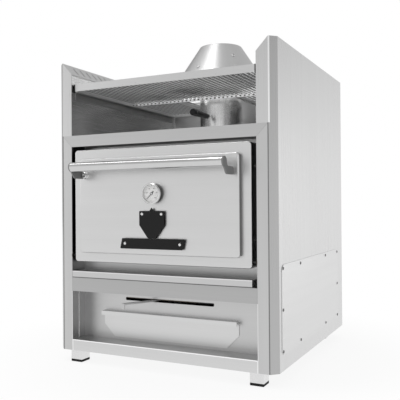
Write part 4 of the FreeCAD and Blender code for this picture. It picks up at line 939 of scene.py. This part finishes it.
# %% [markdown]
# ## A tab on the blank badge
# The upper plate ends in a small pointed tab. It is cut from the same sheet, so it has the plate's thickness
# and coat. Three corners, pushed through the sheet, are all that it needs.

# %% Badge tab
TAB_WIDTH, TAB_HEIGHT, TAB_LAP = 14 * MM, 10 * MM, 0.5 * MM


def cut_plate(corners, front, back, name):
    """Flat plate between two depths from its corners across and up."""
    shape = bmesh.new()
    faces = [[shape.verts.new((x, depth, z)) for x, z in corners] for depth in (front, back)]
    for face in faces:
        shape.faces.new(face)
    for index in range(len(corners)):
        after = (index + 1) % len(corners)
        shape.faces.new((faces[0][index], faces[0][after], faces[1][after], faces[1][index]))
    bmesh.ops.recalc_face_normals(shape, faces=shape.faces)
    return to_mesh(shape, name)


tab_middle, tab_foot = middle("badge_plate").x, badge_high.z - TAB_LAP
tab_corners = [(tab_middle - TAB_WIDTH / 2, tab_foot), (tab_middle + TAB_WIDTH / 2, tab_foot),
               (tab_middle, tab_foot + TAB_HEIGHT)]
tab = cut_plate(tab_corners, badge_low.y, badge_high.y, "badge_tab")
settle(tab, "badge_tab", coatings["plate"], "door")

# %% [markdown]
# ## Bushes beside the handle brackets
# Each handle bracket is clamped by a polished bush beside its foot, with a socket screw sunk into it. Its
# waist, its chamfer and its socket are all in one turned profile, from the door panel outwards.

# %% Handle bushes
bush_low, bush_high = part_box("handle_standoffs")
BUSH, LENGTH = (bush_high.z - bush_low.z) / 2, bush_high.y - bush_low.y
WAIST, SHOULDER, FLANGE, CHAMFER = 0.84 * BUSH, 1 * MM, 3 * MM, 1.5 * MM
COLLAR = FLANGE + SHOULDER
SOCKET, SOCKET_DEPTH = 4 * MM, 5 * MM
bush_profile = [
    (0, 0), (BUSH, 0), (BUSH, FLANGE), (WAIST, COLLAR), (WAIST, LENGTH - COLLAR - SHOULDER),
    (BUSH, LENGTH - COLLAR), (BUSH, LENGTH - CHAMFER), (BUSH - CHAMFER, LENGTH),
    (SOCKET, LENGTH), (SOCKET, LENGTH - SOCKET_DEPTH), (0, LENGTH - SOCKET_DEPTH)]
bush_height = middle("handle_standoffs").z
bush_sides = (bush_low.x + BUSH, bush_high.x - BUSH)
bush_places = [(Vector((x, bush_high.y, bush_height)), FRONT) for x in bush_sides]
bush = to_mesh(turned(bush_profile, sides=32), "bush")
fasten("handle_bushes", bush, bush_places, metals["turned"], "door", stands_for=["handle_standoffs"])

# %% [markdown]
# ## Fasteners on the hood
# Six low bolts hold the hood to its straps, and three screws higher up hold the rolled sheet to the collar
# inside it. Their places and directions come from the geometry of the cone: each stands square to the
# sloping sheet. The bolt heads are ground low and brushed with the hood, so only the screws catch the eye.

# %% Hood fasteners
hood_low, hood_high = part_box("draught_hood")
BOLTS, FIRST_BOLT, BOLT_RISE = 6, -42, 32.5 * MM
HOOD_SCREWS, HOOD_SCREW_RISE, HOOD_SCREW_HEAD = 3, 73 * MM, (6 * MM, 3.4 * MM)
HOOD_MOUTH, HOOD_SHEET = 72.3 * MM, 2 * MM
WASHER, WASHER_TOP = 6.5 * MM, 0.8 * MM
HEXAGON, HEXAGON_EDGE, EDGE_RISE, HEAD_TOP = 5.6 * MM, 4.6 * MM, 2.2 * MM, 2.8 * MM
hood_radius = (hood_high.x - hood_low.x) / 2
hood_slope = (hood_radius - HOOD_MOUTH - HOOD_SHEET) / (hood_high.z - hood_low.z)


def round_hood(count, rise):
    """Places round the cone at a height above its lower rim, with the way that a fastener looks there."""
    places = []
    for index in range(count):
        angle = math.radians(FIRST_BOLT + index * 360 / count)
        outward = Vector((math.cos(angle), math.sin(angle), 0))
        axis_spot = Vector((0, flue_axis.y, hood_low.z + rise))
        look = (outward + Vector((0, 0, hood_slope))).normalized()
        places.append((axis_spot + outward * (hood_radius - hood_slope * rise), look))
    return places


bolt = turned([(0, 0), (WASHER, 0), (WASHER, WASHER_TOP), (0, WASHER_TOP)], sides=24)
hexagon = [(0, WASHER_TOP), (HEXAGON, WASHER_TOP), (HEXAGON, EDGE_RISE), (HEXAGON_EDGE, HEAD_TOP),
           (0, HEAD_TOP)]
bolt.from_mesh(to_mesh(turned(hexagon, sides=6), "hexagon"))
fasten("hood_bolt_heads", to_mesh(bolt, "bolt"), round_hood(BOLTS, BOLT_RISE), rolled["hood"], "cabinet",
       stands_for=["hood_bolts"])
fasten("hood_screws", pan_head(*HOOD_SCREW_HEAD), round_hood(HOOD_SCREWS, HOOD_SCREW_RISE),
       metals["fastener"], "cabinet", seed=6)

# %% [markdown]
# ## The dial
# A dial thermometer has a tick for every ten degrees and a longer, wider one for every fifty. The ticks lie
# on an arc, so a tree makes the arc and sets a thin bar on each of its points. The rest of the index divided
# by five tells which bars are the long ones.

# %% Dial ticks
dial_centre = Vector((0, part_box("thermometer_dial")[0].y, middle("thermometer_dial").z))
STEPS, MAJOR = 50, 5
SWEEP_START, SWEEP = math.radians(-45), math.radians(270)
TICK_RADIUS, TICK_LENGTH, INK = 22.5 * MM, 2 * MM, 0.1 * MM
MAJOR_LONGER, TICK_WIDTH = 0.8, 0.14
UPRIGHT = (math.pi / 2, 0, 0)

ticks, board, given = new_tree("dial_ticks", {
    "Count": "Int", "Radius": "Float", "Length": "Float", "Thickness": "Float", "Centre": "Vector",
    "Finish": "Material"})
arc = board.node("GeometryNodeCurveArc", {"mode": "RADIUS"}, {
    "Resolution": given.also("Count"), "Radius": given.also("Radius"), "Start Angle": SWEEP_START,
    "Sweep Angle": SWEEP})
index = board.node("GeometryNodeInputIndex")
major = index.math("MODULO", index, MAJOR) < 0.5
outward = board.node("GeometryNodeInputPosition")
facing = board.node("FunctionNodeAlignRotationToVector", {"axis": "X"}, {"Vector": outward})
bar = board.node("GeometryNodeMeshCube", {}, {"Size": (1, 1, 1)})
scale = board.node("ShaderNodeCombineXYZ", {}, {
    "X": given.also("Length") * (1 + MAJOR_LONGER * major),
    "Y": given.also("Length") * (TICK_WIDTH + TICK_WIDTH * major), "Z": given.also("Thickness")})
bars = board.node("GeometryNodeInstanceOnPoints", {},
                  {"Points": arc, "Instance": bar, "Rotation": facing, "Scale": scale})
stood = board.node("GeometryNodeTransform", {},
                   {"Geometry": bars, "Translation": given.also("Centre"), "Rotation": UPRIGHT})
close_tree(board, stood, given.also("Finish"))
scale_marks = grow(ticks, {
    "Count": STEPS + 1, "Radius": TICK_RADIUS, "Length": TICK_LENGTH, "Thickness": 2 * INK,
    "Centre": dial_centre, "Finish": coatings["ink"]})
settle(scale_marks, "dial_ticks", coatings["ink"], "door")

# %% [markdown]
# ## Numbers on the dial
# Plain hundreds from 0 to 500 stand inside the ticks. Blender's own text makes them, turned into a mesh
# before it is put in place, so that nothing depends on a font file.

# %% Dial numbers
NUMBERS, FIRST_NUMBER, NUMBER_STEP = 6, 225, 54
NUMBER_RADIUS, NUMBER_SIZE = 16.5 * MM, 4.6 * MM
SAME_POINT = 0.001 * MM
numbers = bmesh.new()
for step in range(NUMBERS):
    words = bpy.data.curves.new("number", "FONT")
    words.body = str(100 * step)
    words.size = NUMBER_SIZE
    words.align_x, words.align_y = "CENTER", "CENTER"
    words.extrude = INK
    words.resolution_u = 3
    mesh = plain_mesh(shown("number", words))
    angle = math.radians(FIRST_NUMBER - NUMBER_STEP * step)
    spot = dial_centre + NUMBER_RADIUS * Vector((math.cos(angle), 0, math.sin(angle)))
    mesh.transform(Matrix.Translation(spot) @ Matrix.Rotation(math.pi / 2, 4, "X"))
    numbers.from_mesh(mesh)
bmesh.ops.remove_doubles(numbers, verts=numbers.verts, dist=SAME_POINT)
settle(to_mesh(numbers, "dial_numbers"), "dial_numbers", coatings["ink"], "door")

# %% [markdown]
# ## Pointer cap and grip ring
# Two small turned parts finish what the hand and the eye meet: a cap on the pointer's hub and a bright ring
# in the groove of the damper grip.

# %% Small turned parts
CAP, CAP_EDGE, CAP_TOP = (2.6 * MM, 0.6 * MM), (1.6 * MM, 1.3 * MM), 1.6 * MM
GRIP_GROOVE, RING_DEPTH, RING_SUNK, RING_HALF = 16 * MM, 1.95 * MM, 0.2 * MM, 0.9 * MM


def laid(shape, name, spot, look):
    """Turned shape moved to a place, its axis along a direction."""
    mesh = to_mesh(shape, name)
    mesh.transform(Matrix.Translation(spot) @ look.to_track_quat("Z", "Y").to_matrix().to_4x4())
    return mesh


hub = Vector((0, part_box("thermometer_pointer")[0].y, dial_centre.z))
cap = turned([(0, 0), (CAP[0], 0), CAP, CAP_EDGE, (0, CAP_TOP)], sides=24)
settle(laid(cap, "pointer_cap", hub, FRONT), "pointer_cap", metals["turned"], "pointer")

grip_low, grip_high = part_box("damper_grip")
grip_middle, grip_radius = middle("damper_grip"), (grip_high.z - grip_low.z) / 2
groove = Vector((grip_middle.x, grip_low.y + GRIP_GROOVE, grip_middle.z))
inner, outer = grip_radius - RING_DEPTH, grip_radius - RING_SUNK
ring_profile = ((inner, -RING_HALF), (outer, -RING_HALF), (outer, RING_HALF), (inner, RING_HALF))
ring = turned(ring_profile, sides=32, ring=True)
settle(laid(ring, "grip_ring", groove, FRONT), "grip_ring", metals["turned"], "damper")

# %% [markdown]
# ## Welds under the rack and in the corners
# The rack's rods are welded where they cross its bars, and the heat leaves each bead dark against the bright
# bar, which shows from below. A line of points with a bead on each is all it takes. Beads that differ
# a little in size look hand made, and a fixed seed keeps them the same on every run. Close together, the
# same beads make the bright ground seams in the corners of the warming compartment and half way along the
# sides of the niche.

# %% Weld tree
BEAD_LEAST, BEAD_MOST = (1.1, 0.8, 0.8), (1.7, 1.1, 1.0)
welds, board, given = new_tree("weld_row", {
    "Count": "Int", "Start": "Vector", "Step": "Vector", "Radius": "Float", "Seed": "Int",
    "Finish": "Material"})
row = board.node("GeometryNodeMeshLine", {"mode": "OFFSET"}, {
    "Count": given.also("Count"), "Start Location": given.also("Start"), "Offset": given.also("Step")})
bead = board.node("GeometryNodeMeshUVSphere", {},
                  {"Segments": 8, "Rings": 5, "Radius": given.also("Radius")})
size = board.node("FunctionNodeRandomValue", {"data_type": "FLOAT_VECTOR"},
                  {"Min": BEAD_LEAST, "Max": BEAD_MOST, "Seed": given.also("Seed")})
beads = board.node("GeometryNodeInstanceOnPoints", {}, {"Points": row, "Instance": bead, "Scale": size})
close_tree(board, beads, given.also("Finish"))


def weld_row(shape, count, start, step, radius, seed, finish):
    """Add a row of beads to a shape."""
    values = {"Count": count, "Start": start, "Step": step, "Radius": radius, "Seed": seed, "Finish": finish}
    shape.from_mesh(grow(welds, values))


print("weld tree with", len(welds.nodes), "nodes")

# %% Rack welds
rods_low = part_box("rack_rods_left")[0]
rods_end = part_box("rack_rods_right")[1].x
ROD, RODS = 6 * MM, 39
BEAD, BEHIND_LIP, INTO_BAR, BAR_HEIGHT = 3.2 * MM, 3.2 * MM, 1.6 * MM, 8 * MM
first_rod = rods_low.x + ROD / 2
rod_pitch = Vector(((rods_end - rods_low.x - ROD) / (RODS - 1), 0, 0))
weld_starts = (Vector((first_rod, rack_low.y + BEHIND_LIP, rods_low.z)),
               Vector((first_rod, BAR_FRONT + INTO_BAR, rods_low.z - BAR_HEIGHT / 2)))
rack_shape = bmesh.new()
for seed, start in enumerate(weld_starts):
    weld_row(rack_shape, RODS, start, rod_pitch, BEAD, seed, metals["tinted"])
settle(to_mesh(rack_shape, "rack_welds"), "rack_welds", metals["tinted"], "rack")

# %% Corner seams
recess_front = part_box("compartment_back_wall")[0].y
SEAM, SEAM_STEP = 1.6 * MM, 1.8 * MM
CORNER_PROUD, NICHE_PROUD, NICHE_SEAM = 0.6 * MM, 0.2 * MM, at(0, 31, 0).y
upwards = Vector((0, 0, SEAM_STEP))
deck_top = frame_high.z
corner_beads = round((rack_low.z - deck_top) / SEAM_STEP)
niche_beads = round((MID_RAIL[0] - NICHE_FLOOR) / SEAM_STEP) - 1
seam_shape = bmesh.new()
for seed, side in enumerate((-1, 1)):
    corner = Vector((side * (inner_side - CORNER_PROUD), recess_front - CORNER_PROUD, deck_top))
    weld_row(seam_shape, corner_beads, corner, upwards, SEAM, seed, metals["fastener"])
    half_way = Vector((side * (inner_side - NICHE_PROUD), NICHE_SEAM, NICHE_FLOOR + SEAM))
    weld_row(seam_shape, niche_beads, half_way, upwards, SEAM, seed + 2, metals["fastener"])
settle(to_mesh(seam_shape, "corner_seams"), "corner_seams", metals["fastener"], "cabinet")

# %% [markdown]
# ## Sleeves and black blocks on the rack's lip
# The lip at the front of the rack is a folded channel. A steel sleeve lengthens each of its ends, and a black
# block beyond each sleeve is painted shade: it stands in for the dark gap there. Both are small blocks with
# rounded edges, which a Bevel modifier gives at once. They fill the gap beside the lip but keep clear of the
# wall.

# %% Lip sleeves and black blocks
LIP, LIP_DEPTH = 22 * MM, 14 * MM
CAP_CLEAR, CAP_WIDTH, CAP_PROUD, CAP_ROUNDING = 2.2 * MM, 5 * MM, 0.8 * MM, 1.2 * MM
SLEEVE_WIDTH, SLEEVE_PROUD, SLEEVE_ROUNDING = 6 * MM, 0.1 * MM, 0.2 * MM


def lip_blocks(name, clear, width, proud, rounding):
    """Two rounded blocks in line with the lip, at a distance from the walls."""
    shape = bmesh.new()
    for side in (-1, 1):
        centre_x = side * (inner_side - clear - width / 2)
        centre = Vector((centre_x, rack_low.y - proud + LIP_DEPTH / 2, rack_high.z - LIP / 2))
        block = Matrix.Diagonal((width, LIP_DEPTH, LIP, 1))
        bmesh.ops.create_cube(shape, size=1, matrix=Matrix.Translation(centre) @ block)
    blank = shown("lip_blank", to_mesh(shape, name))
    edges = blank.modifiers.new("rounding", "BEVEL")
    edges.width = rounding
    edges.segments = 3
    return plain_mesh(blank)


# Black blocks as painted shade in the dark gaps at the lip's ends.
gap_blocks = lip_blocks("lip_caps", CAP_CLEAR, CAP_WIDTH, CAP_PROUD, CAP_ROUNDING)
settle(gap_blocks, "lip_caps", coatings["grip"], "rack")
sleeves = lip_blocks("lip_sleeves", CAP_CLEAR + CAP_WIDTH, SLEEVE_WIDTH, SLEEVE_PROUD, SLEEVE_ROUNDING)
settle(sleeves, "lip_sleeves", panels["sleeve"], "rack")

# %% [markdown]
# ## The rope seal
# A rope of glass fibre seals the door against the oven. It is laid from three strands that twist round each
# other. The tree makes one rounded rectangle, moves each strand out from it by an angle that grows along the
# path, and sweeps a circle along all three.

# %% Rope seal
seal_low, seal_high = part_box("door_rope_seal")
ROPE = (seal_high.y - seal_low.y) / 2
ROPE_CORNER, ROPE_TURNS, ROPE_POINTS, STRANDS = 14 * MM, 70.0, 700, 3
CORNER_STEPS, STRAND_SIDES = 6, 8

rope, board, given = new_tree("rope_seal", {
    "Width": "Float", "Height": "Float", "Corner": "Float", "Radius": "Float", "Turns": "Float",
    "Points": "Int", "Centre": "Vector", "Finish": "Material"})
outline = board.node("GeometryNodeCurvePrimitiveQuadrilateral", {},
                     {"Width": given.also("Width"), "Height": given.also("Height")})
soft = board.node("GeometryNodeFilletCurve", {"mode": "POLY"},
                  {"Curve": outline, "Count": CORNER_STEPS, "Radius": given.also("Corner")})
path = board.node("GeometryNodeResampleCurve", {}, {"Curve": soft, "Count": given.also("Points")})
along = board.node("GeometryNodeSplineParameter", {}, {}, "Factor")
normal = board.node("GeometryNodeInputNormal")
tangent = board.node("GeometryNodeInputTangent")
aside = board.node("ShaderNodeVectorMath", {"operation": "CROSS_PRODUCT"}, {0: tangent, 1: normal})
lift = given.also("Radius") * 0.5
profile = board.node("GeometryNodeCurvePrimitiveCircle", {}, {"Resolution": STRAND_SIDES, "Radius": lift})
laid_up = board.node("GeometryNodeJoinGeometry")
for strand in range(STRANDS):
    angle = along * given.also("Turns") * (2 * math.pi) + strand * 2 * math.pi / STRANDS
    shares = ((normal, angle.math("COSINE", angle)), (aside, angle.math("SINE", angle)))
    out, over = (board.node("ShaderNodeVectorMath", {"operation": "SCALE"}, {0: way, "Scale": share * lift})
                 for way, share in shares)
    offset = board.node("ShaderNodeVectorMath", {"operation": "ADD"}, {0: out, 1: over})
    moved = board.node("GeometryNodeSetPosition", {}, {"Geometry": path, "Offset": offset})
    swept = board.node("GeometryNodeCurveToMesh", {}, {"Curve": moved, "Profile Curve": profile})
    board.tree.links.new(swept.socket, laid_up.socket.node.inputs["Geometry"])
stood = board.node("GeometryNodeTransform", {},
                   {"Geometry": laid_up, "Translation": given.also("Centre"), "Rotation": UPRIGHT})
close_tree(board, stood, given.also("Finish"))
seal = grow(rope, {
    "Width": seal_high.x - seal_low.x - 2 * ROPE, "Height": seal_high.z - seal_low.z - 2 * ROPE,
    "Corner": ROPE_CORNER, "Radius": ROPE, "Turns": ROPE_TURNS, "Points": ROPE_POINTS,
    "Centre": middle("door_rope_seal"), "Finish": coatings["rope"]})
seal.shade_smooth()
settle(seal, "rope_seal", coatings["rope"], "door", ["door_rope_seal"])

# %% [markdown]
# ## The studio
# The picture shows the oven on white, so the world behind is white. Metal and glass see the same white, and
# the steel looks as it would in a white studio, under a ceiling that is greyer than the walls, with a grey
# screen behind the oven on its left. A picture of a studio could be wrapped round the scene instead, but
# a few sums on the direction give the same and can be changed.

# %% World
WHITE = (1, 1, 1, 1)
FILL = 0.8
CEILING, CEILING_RISE = 0.64, (0.02, 0.45)
SCREEN, SCREEN_WAY, SCREEN_EDGE = 0.4, (-0.78, 0.63), (0.72, 0.95)


def seen_directly(board):
    """1 for what the camera, a mirror or a glass sees, 0 for light on its way to a plain surface."""
    ray = board.node("ShaderNodeLightPath", {}, {}, "Is Camera Ray")
    either = ray.math("MAXIMUM", ray, ray.also("Is Glossy Ray"))
    return either.math("MAXIMUM", either, ray.also("Is Transmission Ray"))


world = bpy.data.worlds.new("studio")
world.use_nodes = True
world.node_tree.nodes.clear()
scene.world = world
board = Board(world.node_tree)
heading = parted(board, board.node("ShaderNodeTexCoord", {}, {}, "Generated"))
to_screen = SCREEN_WAY[0] * heading + SCREEN_WAY[1] * heading.also("Y")
screen = SCREEN * fade(board, to_screen, *SCREEN_EDGE)
ceiling = (1 - CEILING) * fade(board, heading.also("Z"), *CEILING_RISE)
mirrored = board.node("ShaderNodeLightPath", {}, {}, "Is Glossy Ray")
seen = 1 - (screen + ceiling) * mirrored
strength = FILL + (seen - FILL) * seen_directly(board)
sky = board.node("ShaderNodeBackground", {}, {"Color": WHITE, "Strength": strength})
board.node("ShaderNodeOutputWorld", {}, {"Surface": sky})
print("white studio with a ceiling of", CEILING)

# %% [markdown]
# ## The floor
# The oven stands on a pale floor, which catches a soft shadow near the feet and fades to plain white further
# out. A plain white floor would lose the shadow, and a floor that only catches shadows would hide it from
# the steel, so a matt and a glowing surface are mixed by the distance from the oven.

# %% Floor
FLOOR, FLOOR_TONE, SHADOW_SHARE, SHADOW_REACH = 9, 0.9, 0.13, (0.45, 0.95)
pale, board = new_finish("pale_floor")
where = place(board)
distance = board.node("ShaderNodeVectorMath", {"operation": "LENGTH"}, {0: where}, "Value")
grain = speckle(board, where, 40.0, 3.0)
matt = board.node("ShaderNodeBsdfDiffuse", {}, {"Color": grey(board, FLOOR_TONE + 0.02 * grain)})
plain = board.node("ShaderNodeEmission", {}, {"Color": WHITE, "Strength": 1.0})
eye = board.node("ShaderNodeLightPath", {}, {}, "Is Camera Ray")
away = seen_directly(board) - SHADOW_SHARE * eye * (1 - fade(board, distance, *SHADOW_REACH))
ground = board.node("ShaderNodeMixShader", {}, {0: away, 1: matt, 2: plain})
board.node("ShaderNodeOutputMaterial", {}, {"Surface": ground})
floor_mesh = bpy.data.meshes.new("floor")
floor_corners = [(x * FLOOR, y * FLOOR, 0) for x, y in ((-1, -1), (1, -1), (1, 1), (-1, 1))]
floor_mesh.from_pydata(floor_corners, [], [(0, 1, 2, 3)])
floor_mesh.materials.append(pale)
floor = shown("floor", floor_mesh)
print("pale floor", 2 * FLOOR, "m wide")

# %% [markdown]
# ## Lamps
# Only soft area lamps are added: one above, a long strip that draws a line along the handle, one on the left
# and one on the right. A lamp's brightness is given here as the brightness of its face, because that is what
# shows in steel. Its power follows from the size of the face. Each row has the lamp's place, what it aims
# at, its width and height, and its brightness.

# %% Lamps
LAMPS = {
    "above": ((-0.52, -0.72, 2.8), (0.0, 0.0, 0.6), (0.55, 0.85), 5.0),
    "strip": ((-1.55, -0.85, 2.8), (-1.55, -0.4, 0.6), (1.6, 0.3), 4.2),
    "left": ((-2.6, -1.2, 1.5), (0.0, 0.0, 0.6), (1.6, 2.0), 0.8),
    "right": ((3.0, 1.6, 0.42), (0.3, 0.1, 0.4), (2.6, 1.2), 1.9),
}
for name, (spot, target, (width, height), brightness) in LAMPS.items():
    data = bpy.data.lights.new(name, "AREA")
    data.shape = "RECTANGLE"
    data.size, data.size_y = width, height
    data.energy = brightness * math.pi * width * height
    lamp = shown(name, data)
    look = Vector(target) - Vector(spot)
    lamp.matrix_world = Matrix.Translation(spot) @ look.to_track_quat("-Z", "Y").to_matrix().to_4x4()
    lamp.visible_camera = False
print(len(LAMPS), "lamps")

# %% [markdown]
# The picture uses the Standard view transform, so that a colour shows as it is written.

# %% Finish
scene.view_settings.view_transform = "Standard"
